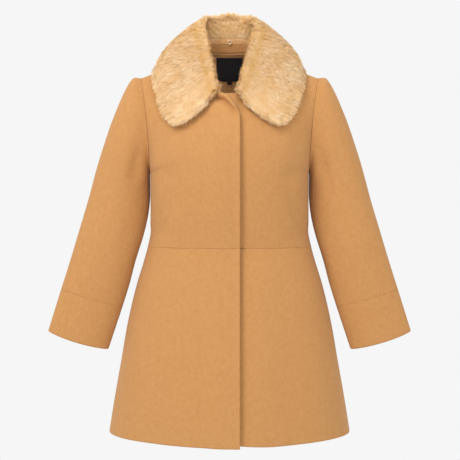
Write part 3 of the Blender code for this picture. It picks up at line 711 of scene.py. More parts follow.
def rolled_neck(points, line):
    """The overlap's points with the roll along its neck edge."""
    down = ease((NECK_FRONT - points[..., 2]) / (NECK_FRONT - NECK_WAVE_NARROW))
    away = distance_to_edge(points, line) / (1 - NECK_WAVE_TAPER * down)
    fade = ease((points[..., 2] - NECK_WAVE_START) / (NECK_WAVE_FULL - NECK_WAVE_START))
    rise = sum(wave.height * np.exp(-(((away - wave.away) / wave.spread) ** 2)) for wave in NECK_WAVES)
    fade *= ease((NECK_WAVE_SIDE[0] - points[..., 0]) / (NECK_WAVE_SIDE[0] - NECK_WAVE_SIDE[1]))
    return points + LAP_WAY * (rise * fade)[..., None]


FORWARD, BACKWARD = (0, -1, 0), (0, 1, 0)

left_front, left_normals, left_shoulder = front_bodice_points(-UNDERLAP, 0.0)
left_front = folded(left_front, left_normals, LEFT_FRONT_FOLDS)
left_normals = square_shoulders(left_normals, left_shoulder, left_front)
left_edges = sewn_all_round(left_front, last=TURNED)
front_left = add_cloth("front_bodice_left", left_front, left_normals, left_edges)

right_front, right_normals, right_shoulder = front_bodice_points(-OVERLAP, CORNER_DROP)
right_front = folded(right_front, right_normals, RIGHT_FRONT_FOLDS)
right_front = rolled_neck(right_front, right_front[-1, -NECK_COLUMNS - CORNER_COLUMNS :])
right_front, right_thickness = raised_lap(right_front)
right_front, right_normals = mirrored(right_front), mirrored(right_normals)
right_normals = square_shoulders(right_normals, right_shoulder, right_front)
right_edges = sewn_all_round(right_front, last=FRONT_FOLD)
right_edges.append((right_front[-1, -NECK_COLUMNS - CORNER_COLUMNS :], NECK_ROLL))
front_right = add_cloth(
    "front_bodice_right",
    right_front,
    right_normals,
    right_edges,
    thickness=right_thickness,
)

back_panel, back_shoulder, back_shares, back_steps, back_neck_share = back_bodice_points()
back_panel = folded(back_panel, grid_normals(back_panel, BACKWARD), BACK_FOLDS)
back_normals = square_shoulders(grid_normals(back_panel, BACKWARD), back_shoulder, back_panel)
back_piece = add_cloth("back_bodice", back_panel, back_normals, sewn_all_round(back_panel))


# ---------------------------------------------------------------------------------------------------
# The skirt: two fronts and a back of the same cloth, sewn to the bodice at the waist and flaring to the
# hem, which is turned up inside. It hangs smooth, with slow waves in the back and beside the front edge.
# ---------------------------------------------------------------------------------------------------

HEM_SIDE = -837.0
HEM_MIDDLE = -846.0
HEM_POWER = 2.2
UNDERLAP_RISE = 6.0
UNDERLAP_RISE_START = 0.67
HEM_TURNING = 40.0
HEM_EXTRA_CLOTH = 1.0
SKIRT_ROWS = 66
FRONT_SKIRT_COLUMNS = 38
BACK_SKIRT_COLUMNS = 84
HEM = EdgeFinish(width=4.5, outer=1.6, inner=1.0)

RIGHT_SKIRT_FOLDS = (
    Fold(top_x=-20, top_z=-415, bottom_x=-20, bottom_z=-850, spread=5, depth=-1.5),
    Fold(top_x=-9, top_z=-415, bottom_x=-9, bottom_z=-850, spread=5, depth=0.6),
    Fold(top_x=4, top_z=-415, bottom_x=4, bottom_z=-850, spread=3, depth=-0.4),
    Fold(top_x=128, top_z=-470, bottom_x=168, bottom_z=-840, spread=26, depth=1.6),
    Fold(top_x=60, top_z=-560, bottom_x=74, bottom_z=-850, spread=24, depth=-1.4),
    Fold(top_x=34, top_z=-430, bottom_x=34, bottom_z=-850, spread=14, depth=0.9),
    Fold(top_x=196, top_z=-600, bottom_x=226, bottom_z=-838, spread=22, depth=-1.6),
)
LEFT_SKIRT_FOLDS = (
    Fold(top_x=24, top_z=-415, bottom_x=24, bottom_z=-850, spread=9, depth=5.0),
    Fold(top_x=118, top_z=-500, bottom_x=146, bottom_z=-842, spread=24, depth=1.5),
    Fold(top_x=66, top_z=-470, bottom_x=78, bottom_z=-846, spread=26, depth=-1.2),
    Fold(top_x=190, top_z=-640, bottom_x=214, bottom_z=-838, spread=20, depth=-1.3),
)
BACK_SKIRT_FOLDS = (
    Fold(top_x=-150, top_z=-520, bottom_x=-192, bottom_z=-838, spread=26, depth=4.0),
    Fold(top_x=-84, top_z=-470, bottom_x=-106, bottom_z=-844, spread=24, depth=-3.0),
    Fold(top_x=-24, top_z=-560, bottom_x=-38, bottom_z=-846, spread=22, depth=3.2),
    Fold(top_x=52, top_z=-500, bottom_x=66, bottom_z=-846, spread=26, depth=-2.8),
    Fold(top_x=120, top_z=-590, bottom_x=146, bottom_z=-842, spread=22, depth=3.4),
)


def skirt_section(height, face):
    """The line across the skirt at a height."""
    side = np.array([half_width_at(height)[0], 0.0, height])
    middle = np.array([0.0, body_depth_at[face](height)[0], height])
    return whole_section(half_section(side, middle))


def skirt_points(face, end_x, columns, folds, hem_rise=0.0):
    """A skirt panel with its folds, from the waist seam down to a hem that rises to the side seams."""
    shares = graded(columns, half_width_at(WAIST)[0] * (2 if face == "back" else 1))
    drops = graded(SKIRT_ROWS, WAIST - HEM_MIDDLE)
    points = np.empty((len(drops), len(shares), 3))
    for column, share in enumerate(shares):
        to_middle = math.sin(math.pi * share if face == "back" else math.pi / 2 * share)
        near_edge = ease((share - UNDERLAP_RISE_START) / (1 - UNDERLAP_RISE_START))
        hem = HEM_SIDE + (HEM_MIDDLE - HEM_SIDE) * to_middle**HEM_POWER + hem_rise * near_edge
        waist = WAIST - SEAM / 2
        for row, height in enumerate(waist + (hem - waist) * drops):
            line = skirt_section(height, face)
            stop_x = line[-1, 0] if end_x is None else end_x
            points[row, column] = point_at_share(line, share, stop_x)
    return folded(points, grid_normals(points, FORWARD if face == "front" else BACKWARD), folds)


def hem_cloth(points):
    """The cloth is doubled where the hem is turned up."""
    from_hem = distance_to_edge(points, points[-1])
    return CLOTH + HEM_EXTRA_CLOTH * ease((HEM_TURNING - from_hem) / EDGE_ROWS[-1])


left_skirt = skirt_points("front", -UNDERLAP, FRONT_SKIRT_COLUMNS, LEFT_SKIRT_FOLDS, UNDERLAP_RISE)
add_cloth(
    "front_skirt_left",
    left_skirt,
    grid_normals(left_skirt, FORWARD),
    sewn_all_round(left_skirt, top=HEM, last=TURNED),
    thickness=hem_cloth(left_skirt),
)

right_skirt = skirt_points("front", -OVERLAP, FRONT_SKIRT_COLUMNS, RIGHT_SKIRT_FOLDS)
right_skirt, right_skirt_thickness = raised_lap(right_skirt)
right_skirt = mirrored(right_skirt)
add_cloth(
    "front_skirt_right",
    right_skirt,
    grid_normals(right_skirt, FORWARD),
    sewn_all_round(right_skirt, top=HEM, last=FRONT_FOLD),
    thickness=right_skirt_thickness,
)

back_skirt = skirt_points("back", None, BACK_SKIRT_COLUMNS, BACK_SKIRT_FOLDS)
add_cloth(
    "back_skirt",
    back_skirt,
    grid_normals(back_skirt, BACKWARD),
    sewn_all_round(back_skirt, top=HEM),
    thickness=hem_cloth(back_skirt),
)


# ---------------------------------------------------------------------------------------------------
# The sleeves: each is a top and an under piece, set into its armhole, with a deep cuff of two pieces sewn
# on at its end. They hang a little away from the body, with a soft fold down from the sleeve head.
# ---------------------------------------------------------------------------------------------------

# Sleeve sections, each across from its outer to its inner edge, from the armhole to the cuff's hem
SleeveRow = namedtuple("SleeveRow", "outer_x outer_z inner_x inner_z middle_y inner_y front back")
SLEEVE = (
    SleeveRow(
        outer_x=197, outer_z=-42, inner_x=178, inner_z=-252, middle_y=2.5, inner_y=2.5, front=52, back=58
    ),
    SleeveRow(
        outer_x=212, outer_z=-41, inner_x=178.6, inner_z=-255, middle_y=2, inner_y=2, front=53, back=59.5
    ),
    SleeveRow(
        outer_x=233, outer_z=-68, inner_x=178.9, inner_z=-260, middle_y=1, inner_y=3, front=55, back=62
    ),
    SleeveRow(
        outer_x=262, outer_z=-135, inner_x=178.9, inner_z=-269, middle_y=0, inner_y=6, front=57.5, back=62.5
    ),
    SleeveRow(
        outer_x=285, outer_z=-202, inner_x=178.8, inner_z=-284, middle_y=-1, inner_y=8, front=56.5, back=60.5
    ),
    SleeveRow(
        outer_x=299, outer_z=-248, inner_x=178.7, inner_z=-304, middle_y=-2, inner_y=8, front=54, back=57
    ),
    SleeveRow(
        outer_x=317, outer_z=-315, inner_x=184, inner_z=-356, middle_y=-4, inner_y=2, front=50, back=52
    ),
    SleeveRow(
        outer_x=337, outer_z=-382, inner_x=200.8, inner_z=-423, middle_y=-7, inner_y=-6, front=46, back=47
    ),
    SleeveRow(
        outer_x=358, outer_z=-452, inner_x=220.8, inner_z=-492, middle_y=-11, inner_y=-11, front=40, back=41
    ),
    SleeveRow(
        outer_x=377.5, outer_z=-514, inner_x=240, inner_z=-554, middle_y=-15, inner_y=-15, front=34, back=36
    ),
    SleeveRow(
        outer_x=407, outer_z=-608, inner_x=271.5, inner_z=-649, middle_y=-20, inner_y=-20, front=27, back=28
    ),
)
CUFF_ROW = 9
CUFF_HEM_SAG = 4.0
BOW_ROWS = 2.5

# Angles round a sleeve: 0 is its outer edge, 90 its front, 180 its inner edge and 270 its back
FRONT_SLEEVE_SEAM = 148.0
BACK_SLEEVE_SEAM = 248.0
FULL_TURN = 360.0
SLEEVE_SEAM_EASE = 0.05
SLEEVE_ROWS = 92
CUFF_ROWS = 18
TOP_SLEEVE_COLUMNS = 44
UNDER_SLEEVE_COLUMNS = 22
SLEEVE_LENGTH = 510.0
SECTION_POINTS = 4 * DENSE

SleeveFold = namedtuple("SleeveFold", "angle spread start end depth")
HEAD_FOLDS = (
    SleeveFold(angle=112, spread=13, start=1.2, end=5.6, depth=5.5),
    SleeveFold(angle=140, spread=12, start=1.0, end=5.0, depth=-3.0),
    SleeveFold(angle=246, spread=15, start=1.2, end=5.8, depth=5.0),
    SleeveFold(angle=172, spread=16, start=6.6, end=8.2, depth=3.0),
)
SLEEVE_FOLDS = {
    "left": HEAD_FOLDS
    + (
        SleeveFold(angle=70, spread=18, start=2.4, end=6.2, depth=1.3),
        SleeveFold(angle=126, spread=11, start=5.6, end=8.4, depth=1.4),
        SleeveFold(angle=210, spread=16, start=5.2, end=8.0, depth=1.8),
        SleeveFold(angle=300, spread=20, start=3.0, end=7.2, depth=1.8),
    ),
    "right": HEAD_FOLDS
    + (
        SleeveFold(angle=62, spread=20, start=3.0, end=7.0, depth=1.2),
        SleeveFold(angle=122, spread=12, start=5.2, end=7.8, depth=1.5),
        SleeveFold(angle=206, spread=14, start=5.6, end=8.4, depth=1.6),
        SleeveFold(angle=292, spread=18, start=2.6, end=6.4, depth=2.0),
    ),
}

sleeve_section_at = smooth_through(range(len(SLEEVE)), SLEEVE)


def sleeve_section(row, first_angle, last_angle, folds):
    """The line round a sleeve between two angles, at a place between two of its table's rows."""
    size = SleeveRow(*sleeve_section_at(row))
    outer = np.array([size.outer_x, size.middle_y, size.outer_z])
    inner = np.array([size.inner_x, size.inner_y, size.inner_z])
    tilt = np.array([0.0, (SHOULDER_POINT[1] - ARMPIT_POINT[1]) / 2 * max(1 - row, 0.0), 0.0])
    middle, across = (outer + inner) / 2, (outer - inner) / 2 + tilt
    downward = unit(np.array([across[2], 0.0, -across[0]]))
    angles = np.linspace(first_angle, last_angle, SECTION_POINTS)
    turns = np.radians(angles)
    depths = np.where(np.sin(turns) > 0, size.front, size.back)
    reach = across * np.cos(turns)[:, None]
    reach[:, 1] -= depths * np.sin(turns)
    reach[:, 0] -= ARMHOLE_BOW * ease(1 - row / BOW_ROWS) * np.sin(turns) ** 2
    sunk = np.zeros(len(angles))
    for fold in folds:
        turn = (angles - fold.angle + FULL_TURN / 2) % FULL_TURN - FULL_TURN / 2
        fade = math.sin(math.pi * min(max((row - fold.start) / (fold.end - fold.start), 0), 1)) ** 2
        sunk += fold.depth * fade * np.exp(-((turn / fold.spread) ** 2))
    sag = CUFF_HEM_SAG * np.sin(turns) ** 2 * max(row - CUFF_ROW, 0.0)
    line = middle + reach * (1 - sunk / np.linalg.norm(reach, axis=1))[:, None] + downward * sag[:, None]
    return line + np.array([SEAM, 0.0, 0.0])


def sleeve_points(rows, span, columns, folds):
    """A sleeve piece's points, on lines between its two seams."""
    trim = SEAM / 2 + SLEEVE_SEAM_EASE
    points = []
    for row in rows:
        line = sleeve_section(row, *span, folds)
        length = arc_lengths(line)[-1] - 2 * trim
        points.append(points_along(line, trim + length * graded(columns, length)))
    return np.array(points)


cuff_length = math.dist(SLEEVE[CUFF_ROW][:2], SLEEVE[-1][:2])
half_gap = SEAM / cuff_length / 2
sleeve_rows = (CUFF_ROW - half_gap) * graded(SLEEVE_ROWS, SLEEVE_LENGTH)
cuff_start = CUFF_ROW + half_gap
cuff_rows = cuff_start + (len(SLEEVE) - 1 - CUFF_ROW - half_gap) * graded(CUFF_ROWS, cuff_length)
top_span = (BACK_SLEEVE_SEAM - FULL_TURN, FRONT_SLEEVE_SEAM)
under_span = (FRONT_SLEEVE_SEAM, BACK_SLEEVE_SEAM)
for side_name, side, armhole_front in (("left", 1, front_left), ("right", -1, front_right)):
    for part_name, rows in (("sleeve", sleeve_rows), ("cuff", cuff_rows)):
        end_finish = SEWN if part_name == "sleeve" else HEM
        for layer, span, columns, facing in (
            ("top", top_span, TOP_SLEEVE_COLUMNS, (side, 0, 0)),
            ("under", under_span, UNDER_SLEEVE_COLUMNS, (-side, 0, 0)),
        ):
            points = sleeve_points(rows, span, columns, SLEEVE_FOLDS[side_name])
            if side < 0:
                points = mirrored(points)
            edges = sewn_all_round(points, top=end_finish)
            node = f"{part_name}_{layer}_{side_name}"
            add_cloth(node, points, grid_normals(points, facing), edges)


# ---------------------------------------------------------------------------------------------------
# The neckband and the collar's own band: two strips of the same cloth that stand up round the neck, one
# above the other. Their inner sides show at the back of the neck, in the collar's shade. The collar's band
# is painted lighter than the coat's cloth, to make up for that shade.
# ---------------------------------------------------------------------------------------------------

NECKBAND_BACK = 20.0
NECKBAND_FRONT = 11.0
COLLAR_BAND_BACK = 12.0
COLLAR_BAND_FRONT = 4.0
BAND_LEAN = 0.3
NECKBAND_CLEAR = 1.9
BAND_COLUMNS = 150
BAND_ROWS = 6
NECK_AXIS = np.array([0.0, -5.0])
NECK_FRONT_HALF = 22.0
BAND_EDGE = EdgeFinish(width=1.8, outer=0.7, inner=0.9)
# The collar band and the back-neck facing are the coat's own camel cloth, painted lighter to make up for the
# shade inside the neck; the second colour is the darker tone of its mottling.
CAMEL_PAINTED_LIGHTER = (0.700, 0.390, 0.165)
CAMEL_PAINTED_LIGHTER_DEEP = (0.610, 0.320, 0.125)


def neckline(count):
    """The neck seam's outer line from the middle of the back to the front end, on the wearer's left."""
    back_top, front_top = bodice_section(2, "back"), bodice_section(2, "front")
    back_share = share_at_x(back_top, NECK_HALF_WIDTH, -SHOULDER_POINT[0])
    front_share = share_at_x(front_top, NECK_HALF_WIDTH, -UNDERLAP)
    back_level = level_at_height("back", NECK_BACK)
    front_level = level_at_height("front", NECK_FRONT)
    low_line = bodice_section(front_level, "front")
    line = []
    for share in np.linspace(0.5, back_share, DENSE):
        section = bodice_section(neck_level(share, back_share, 0.5, back_level), "back")
        line.append(point_at_share(section, share, section[-1, 0]))
    end_share = share_at_x(low_line, NECK_FRONT_HALF, -UNDERLAP)
    low_share = share_at_x(low_line, CORNER_WIDTH - UNDERLAP, -UNDERLAP)
    for share in np.linspace(front_share, end_share, DENSE)[1:]:
        section = bodice_section(neck_level(share, front_share, low_share, front_level), "front")
        line.append(point_at_share(section, share, -UNDERLAP))
    line = np.array(line)
    return points_along(line, np.linspace(0, arc_lengths(line)[-1], count + 1))


def band_frame(points):
    """At each point of the neckline, the way up the stand and the way out of the neck."""
    outward = np.zeros_like(points)
    outward[:, :2] = unit(points[:, :2] - NECK_AXIS)
    rise = unit(np.array([0.0, 0.0, 1.0]) - BAND_LEAN * outward)
    return rise, unit(outward + BAND_LEAN * np.array([0.0, 0.0, 1.0]))


def band_heights(at_back, at_front):
    """A band's height round half of the neck."""
    turn = np.linspace(0, math.pi / 2, BAND_COLUMNS // 2 + 1)
    return at_front + (at_back - at_front) * np.cos(turn) ** 2


def band_points(low_back, low_front, high_back, high_front):
    """A band round the whole neck between two heights above the neck seam."""
    half = neckline(BAND_COLUMNS // 2)
    rise, _ = band_frame(half)
    low = band_heights(low_back, low_front) + SEAM
    high = band_heights(high_back, high_front) - SEAM
    parts = graded(BAND_ROWS, NECKBAND_BACK)
    rows = [half + rise * (low + (high - low) * part)[:, None] for part in parts]
    return np.array([np.concatenate([row[::-1], mirrored(row)[1:]]) for row in rows])


# A copy of the coat's wool painted lighter, for the collar band and the facing in the shade of the neck.
painted_lighter_wool = brushed_wool("collar_band_wool_painted_lighter", CAMEL_PAINTED_LIGHTER, CAMEL_PAINTED_LIGHTER_DEEP)
neckband_points = band_points(0, NECKBAND_CLEAR, NECKBAND_BACK, NECKBAND_FRONT)
collar_band_points = band_points(
    NECKBAND_BACK,
    NECKBAND_FRONT,
    NECKBAND_BACK + COLLAR_BAND_BACK,
    NECKBAND_FRONT + COLLAR_BAND_FRONT,
)
for node, points, slot, look in (
    ("neckband", neckband_points, "coat_cloth", coat_wool),
    ("collar_band", collar_band_points, "facing_cloth", painted_lighter_wool),
):
    edges = sewn_all_round(points, BAND_EDGE, BAND_EDGE, BAND_EDGE, BAND_EDGE)
    add_cloth(node, points, grid_normals(points, FORWARD), edges, look=look)


# ---------------------------------------------------------------------------------------------------
# Inside the back neck: a shaped facing of the coat's cloth, a black woven ribbon label with nothing on it,
# stitched down along its sides, and a small black ribbon tab sewn in under it.
# ---------------------------------------------------------------------------------------------------

FACING_CLOTH = 1.2
FACING_GAP = 0.6
FACING_FROM = 11 / 18
FACING_INSET = 1 / 6
LABEL_CLOTH = 0.8
LABEL_GAP = 0.9
LABEL_SIZE = (60.0, 53.0)
LABEL_TOP = 9.0
TAB_SIZE = (11.0, 6.5)
TAB_GAP = 0.6
TAB_TOP = LABEL_TOP - LABEL_SIZE[1] - TAB_GAP
RIBBON_BLACK = (0.0105, 0.0105, 0.012)
RIBBON_GREY = (0.024, 0.024, 0.027)
RIBBON_EDGE = EdgeFinish(width=0.8, outer=0.25, inner=0.0)
RIBBON_STEPS = 12
STITCH_LENGTH = 2.6
STITCH_EVERY = 4.0
STITCH_RADIUS = 0.28
STITCH_INSET = 2.2
STITCH_SIDES = 6
STITCH_END = 0.15
# A stitch from one end to the other: how far along, how thick and how high it is
STITCH_RINGS = ((-0.5, 0.0, -0.6), (-0.38, 0.8, 0.1), (0.0, 1.0, 0.5), (0.38, 0.8, 0.1), (0.5, 0.0, -0.6))
THREAD_BLACK = (0.03, 0.03, 0.033)


def woven_ribbon():
    """Black satin ribbon: fine threads both ways, a soft shine."""
    ribbon, tree, shader = new_look("woven_ribbon")
    link = tree.links.new
    place = add_node(tree, "ShaderNodeTexCoord").outputs["Object"]
    across = marks(tree, "ShaderNodeTexWave", place, bands_direction="X", scale=380.0, distortion=0.6)
    along = marks(tree, "ShaderNodeTexWave", place, bands_direction="Z", scale=560.0, distortion=0.4)
    weave = together(tree, "MULTIPLY", across, along)
    link(mixed(tree, RIBBON_BLACK, RIBBON_GREY, weave), shader.inputs["Base Color"])
    link(raised(tree, weave, strength=0.4, distance=0.00025), shader.inputs["Normal"])
    shader.inputs["Roughness"].default_value = 0.55
    shader.inputs["Specular IOR Level"].default_value = 0.35
    return ribbon


def surfaces_of(pieces):
    """One tree of all faces of some pieces, for finding where a line meets them."""
    vertices, faces = [], []
    for piece in pieces:
        first = len(vertices)
        vertices += [vertex.co.copy() for vertex in piece.data.vertices]
        faces += [[first + index for index in face.vertices] for face in piece.data.polygons]
    return BVHTree.FromPolygons(vertices, faces)


def ribbon_points(size, top, carrier):
    """A grid over the inside of the back neck, where a piece of ribbon lies."""
    width, height = size
    across = width * (graded(RIBBON_STEPS, width) - 0.5)
    down = top - height * graded(RIBBON_STEPS, height)
    points = np.empty((len(down), len(across), 3))
    for row, z in enumerate(down):
        for column, x in enumerate(across):
            hit = carrier.ray_cast(Vector((x * MM, 0, z * MM)), Vector((0, 1, 0)))[0]
            points[row, column] = np.array(hit) / MM
    return points


def add_stitches(name, line, normals, look):
    """A row of short stitches along a line, each a small rounded bar that dips in at its ends."""
    vertices, faces = [], []
    arcs = arc_lengths(line)
    for middle in np.arange(STITCH_EVERY / 2, arcs[-1], STITCH_EVERY):
        centre = points_along(line, middle)
        along = unit(points_along(line, middle + 1) - points_along(line, middle - 1))
        up = points_along(normals, np.interp(middle, arcs, arc_lengths(normals)))
        up = unit(up - (up @ along) * along)
        out = np.cross(along, up)
        first = len(vertices)
        for place, size, height in STITCH_RINGS:
            ring_middle = centre + along * place * STITCH_LENGTH + up * height * STITCH_RADIUS
            for turn in np.linspace(0, 2 * math.pi, STITCH_SIDES, endpoint=False):
                reach = (out * math.cos(turn) + up * math.sin(turn)) * STITCH_RADIUS * max(size, STITCH_END)
                vertices.append(ring_middle + reach)
        for ring in range(len(STITCH_RINGS) - 1):
            for corner in range(STITCH_SIDES):
                a = first + ring * STITCH_SIDES + corner
                b = first + ring * STITCH_SIDES + (corner + 1) % STITCH_SIDES
                faces.append((a, b, b + STITCH_SIDES, a + STITCH_SIDES))
        last = first + (len(STITCH_RINGS) - 1) * STITCH_SIDES
        faces.append(tuple(range(first + STITCH_SIDES - 1, first - 1, -1)))
        faces.append(tuple(range(last, last + STITCH_SIDES)))
    stitches = add_mesh(name, vertices, faces, look)
    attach(stitches, "root")
    return stitches


def plain_thread(name, colour):
    """Twisted sewing thread of one colour."""
    thread, tree, shader = new_look(name)
    twist = add_node(tree, "ShaderNodeTexNoise", scale=3000.0, detail=1.0)
    rise = raised(tree, twist.outputs["Fac"], strength=0.4, distance=0.0001)
    tree.links.new(rise, shader.inputs["Normal"])
    shader.inputs["Base Color"].default_value = (*colour, 1.0)
    shader.inputs["Roughness"].default_value = 0.6
    return thread


facing_rows = back_steps >= 1 - (1 - FACING_FROM) ** BODICE_ROW_POWER
facing_share = back_neck_share + (0.5 - back_neck_share) * FACING_INSET
facing_columns = np.minimum(back_shares, 1 - back_shares) >= facing_share
facing_normals = back_normals[facing_rows][:, facing_columns]
facing_points = back_panel[facing_rows][:, facing_columns] - facing_normals * (CLOTH + FACING_GAP)
# The facing is painted lighter than the coat's cloth, to make up for the shade inside the back neck.
facing = add_cloth(
    "back_neck_facing",
    facing_points,
    facing_normals,
    [],
    thickness=FACING_CLOTH,
    look=painted_lighter_wool,
)

ribbon = woven_ribbon()
facing_surface = surfaces_of([facing])
for node, size, top in (("neck_label", LABEL_SIZE, LABEL_TOP), ("size_tab", TAB_SIZE, TAB_TOP)):
    under = ribbon_points(size, top, facing_surface)
    normals = grid_normals(under, FORWARD)
    points = under + normals * (LABEL_GAP + LABEL_CLOTH)
    edges = sewn_all_round(points, RIBBON_EDGE, RIBBON_EDGE, RIBBON_EDGE, RIBBON_EDGE)
    piece = add_cloth(node, points, normals, edges, LABEL_CLOTH, ribbon)
    if node == "neck_label":
        arcs = arc_lengths(points[0])
        left, right = np.searchsorted(arcs, (STITCH_INSET, arcs[-1] - STITCH_INSET))
        label_thread = plain_thread("label_thread", THREAD_BLACK)
        for side_name, column in (("one", left), ("other", right)):
            lift = points[:, column] + normals[:, column] * STITCH_RADIUS / 2
            add_stitches(f"label_stitches_{side_name}", lift, normals[:, column], label_thread)


# ---------------------------------------------------------------------------------------------------
# The collar button: a small pale turned button with a dished face and a dark eye, sewn to the neckband at
# the middle of the back. The collar's band is buttoned over it.
# ---------------------------------------------------------------------------------------------------

BUTTON_HEIGHT = NECKBAND_BACK + 5.5
BUTTON_GAP = 0.6
BUTTON_STEPS = 64
BUTTON_MERGE = 0.00001
BUTTON_PALE = (0.84, 0.60, 0.36)
BUTTON_SHADE = (0.62, 0.38, 0.19)
EYE_DARK = (0.035, 0.018, 0.009)

ButtonRow = namedtuple("ButtonRow", "radius height")
BUTTON_PROFILE = (
    ButtonRow(radius=1.45, height=1.2),
    ButtonRow(radius=1.60, height=1.7),
    ButtonRow(radius=1.85, height=1.85),
    ButtonRow(radius=2.6, height=1.8),
    ButtonRow(radius=3.3, height=2.1),
    ButtonRow(radius=3.8, height=2.55),
    ButtonRow(radius=4.5, height=2.6),
    ButtonRow(radius=5.1, height=2.35),
    ButtonRow(radius=5.5, height=1.6),
    ButtonRow(radius=5.45, height=0.9),
    ButtonRow(radius=4.9, height=0.3),
    ButtonRow(radius=4.2, height=0.0),
    ButtonRow(radius=0.0, height=0.0),
)
EYE_PROFILE = (
    ButtonRow(radius=0.0, height=1.35),
    ButtonRow(radius=0.9, height=1.3),
    ButtonRow(radius=1.5, height=1.15),
    ButtonRow(radius=1.5, height=0.4),
    ButtonRow(radius=0.0, height=0.4),
)


def turned_horn(name, light, shade):
    """Polished pale horn with faint cloudy layers."""
    horn, tree, shader = new_look(name)
    place = add_node(tree, "ShaderNodeTexCoord").outputs["Object"]
    clouds = marks(tree, "ShaderNodeTexNoise", place, scale=420.0, detail=3.0)
    tree.links.new(mixed(tree, shade, light, clouds), shader.inputs["Base Color"])
    shader.inputs["Roughness"].default_value = 0.32
    return horn


def add_turned(name, profile, look, place, way):
    """A piece turned round its middle from half of its section."""
    points = [(row.radius, 0.0, row.height) for row in profile]
    edges = [(i, i + 1) for i in range(len(profile) - 1)]
    turned = add_mesh(name, points, [], look, edges, smooth=False)
    turn = turned.modifiers.new("turned", "SCREW")
    turn.steps = BUTTON_STEPS
    turn.render_steps = BUTTON_STEPS
    turn.use_merge_vertices = True
    turn.merge_threshold = BUTTON_MERGE
    turned.location = place * MM
    turned.rotation_euler = Vector(way).to_track_quat("Z", "Y").to_euler()
    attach(turned, "root")
    return turned


back_seam = neckline(BAND_COLUMNS)[:1]
(back_rise,), (back_outward,) = band_frame(back_seam)
button_place = back_seam[0] + back_rise * BUTTON_HEIGHT - back_outward * (CLOTH + BUTTON_GAP)
pale_horn = turned_horn("pale_horn", BUTTON_PALE, BUTTON_SHADE)
button = add_turned("button", BUTTON_PROFILE, pale_horn, button_place, -back_outward)
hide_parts("collar_button")
add_turned("button_eye", EYE_PROFILE, plain_thread("dark_eye", EYE_DARK), button_place, -back_outward)


# ---------------------------------------------------------------------------------------------------
# The fur collar: a thick fall of dense pale gold fur over a padded cloth base. It stands up behind the
# neck, rolls over and lies on the shoulders in two round-cornered leaves. Its hairs lie away from the roll,
# gather in soft locks and make a fringe along the edge.
# ---------------------------------------------------------------------------------------------------

# From the middle of the back (along 0) to its front end (1)
CollarRow = namedtuple("CollarRow", "along roll edge lip fall crest")
FUR_COLLAR = (
    CollarRow(along=0.00, roll=(0, 82, 111), edge=(0, 97, -16), lip=22, fall=0.45, crest=4),
    CollarRow(along=0.13, roll=(33, 76, 104.5), edge=(66, 83, -20), lip=22, fall=0.55, crest=11),
    CollarRow(along=0.26, roll=(56, 50, 100), edge=(124, 57, -28), lip=22, fall=0.60, crest=23),
    CollarRow(along=0.40, roll=(55, 14, 78), edge=(160, 8, -25), lip=27, fall=0.54, crest=18),
    CollarRow(along=0.52, roll=(48, -18, 42), edge=(162, -38, -56), lip=26, fall=0.48, crest=8),
    CollarRow(along=0.64, roll=(39, -50, 6), edge=(153, -65, -92), lip=21, fall=0.45, crest=3),
    CollarRow(along=0.75, roll=(31, -74, -26), edge=(142, -85, -124), lip=20, fall=0.45, crest=2),
    CollarRow(along=0.84, roll=(26, -90, -48), edge=(114, -110, -150), lip=17, fall=0.45, crest=2),
    CollarRow(along=0.91, roll=(23, -98, -60), edge=(86, -119, -138), lip=13, fall=0.45, crest=2),
    CollarRow(along=0.96, roll=(21, -103, -67), edge=(57, -118, -112), lip=9, fall=0.45, crest=1),
    CollarRow(along=1.00, roll=(20, -106, -71), edge=(33, -110, -90), lip=6, fall=0.45, crest=0),
)
COLLAR_SHIFT = -5.0
COLLAR_GAP = 1.3
COLLAR_SEAT = 2.8
COLLAR_UNDERSIDE_ENDS = (0.20, 0.94)
STAND_HANDLE = 0.4
ROLL_HANDLE = 0.1
# The edge is turned down this much, and slants in this much, for each millimetre of its lip
LIP_RISE = 1.15
LIP_SLANT = (0.0, 0.55, 0.55, 0.10)
LIP_PLACES = (0.58, 0.74, 0.84, 0.95)
RAY_REACH = 120.0
COLLAR_STATIONS = 60
COLLAR_INSIDE = 14
COLLAR_OUTSIDE = 34
COLLAR_UNDERSIDE = 10
END_TURNS = np.radians((22, 44, 64, 80))
END_ROUND = 5.0
SOFT_FRONT_RINGS = 26
SOFT_FRONT_FADE = 10
SOFT_FRONT_ROUNDS = 14
BASE_DEPTH = 6.5
BASE_SHARE = 0.30
BASE_SHARE_IN_FRONT = 0.18
BASE_FILL_SHADE = 0.5
BASE_SOFTENINGS = 3
DEPTH_SOFTENINGS = 3
EDGE_DEPTH = 9.0
EDGE_WIDTH = 22.0
EDGE_INSET = 8.0
EDGE_INSET_SHARE = 0.14

HAIR_SEED = 7
HAIRS_PER_PART = 40000
HAIRS_PER_LOCK = 34
LOCK_PULL = 0.48
HAIR_ROOT = 0.8
# The tips' height over the fur's face, as a share of the base's depth
HAIR_HEIGHT = (-0.55, 0.10)
HAIR_RUN = (7.0, 15.0)
HAIR_OVERHANG = (-3.0, 4.5)
HAIR_WIDTH = (0.40, 0.80)
HAIR_STRAY = 0.17
HAIR_TWIST = math.radians(25)
HAIR_STEPS = (0.0, 0.5, 1.0)
HAIR_TAPER = (0.85, 0.95)
# The share of its rise and of its run that a hair's bend is at
BEND_RISE = 0.85
BEND_RUN = 0.30
ROOT_SHADE = 0.25
SHADE_POWER = 0.7
# How unlike each other single hairs and whole locks are
HAIR_SHADE_SPREAD = 0.08
LOCK_SHADE_SPREAD = 0.15
LOCK_GOLD_SPREAD = 0.16
HAIR_DROOP = 0.18
COMB_WIDTH = 75.0
COMB_FROM = 0.2
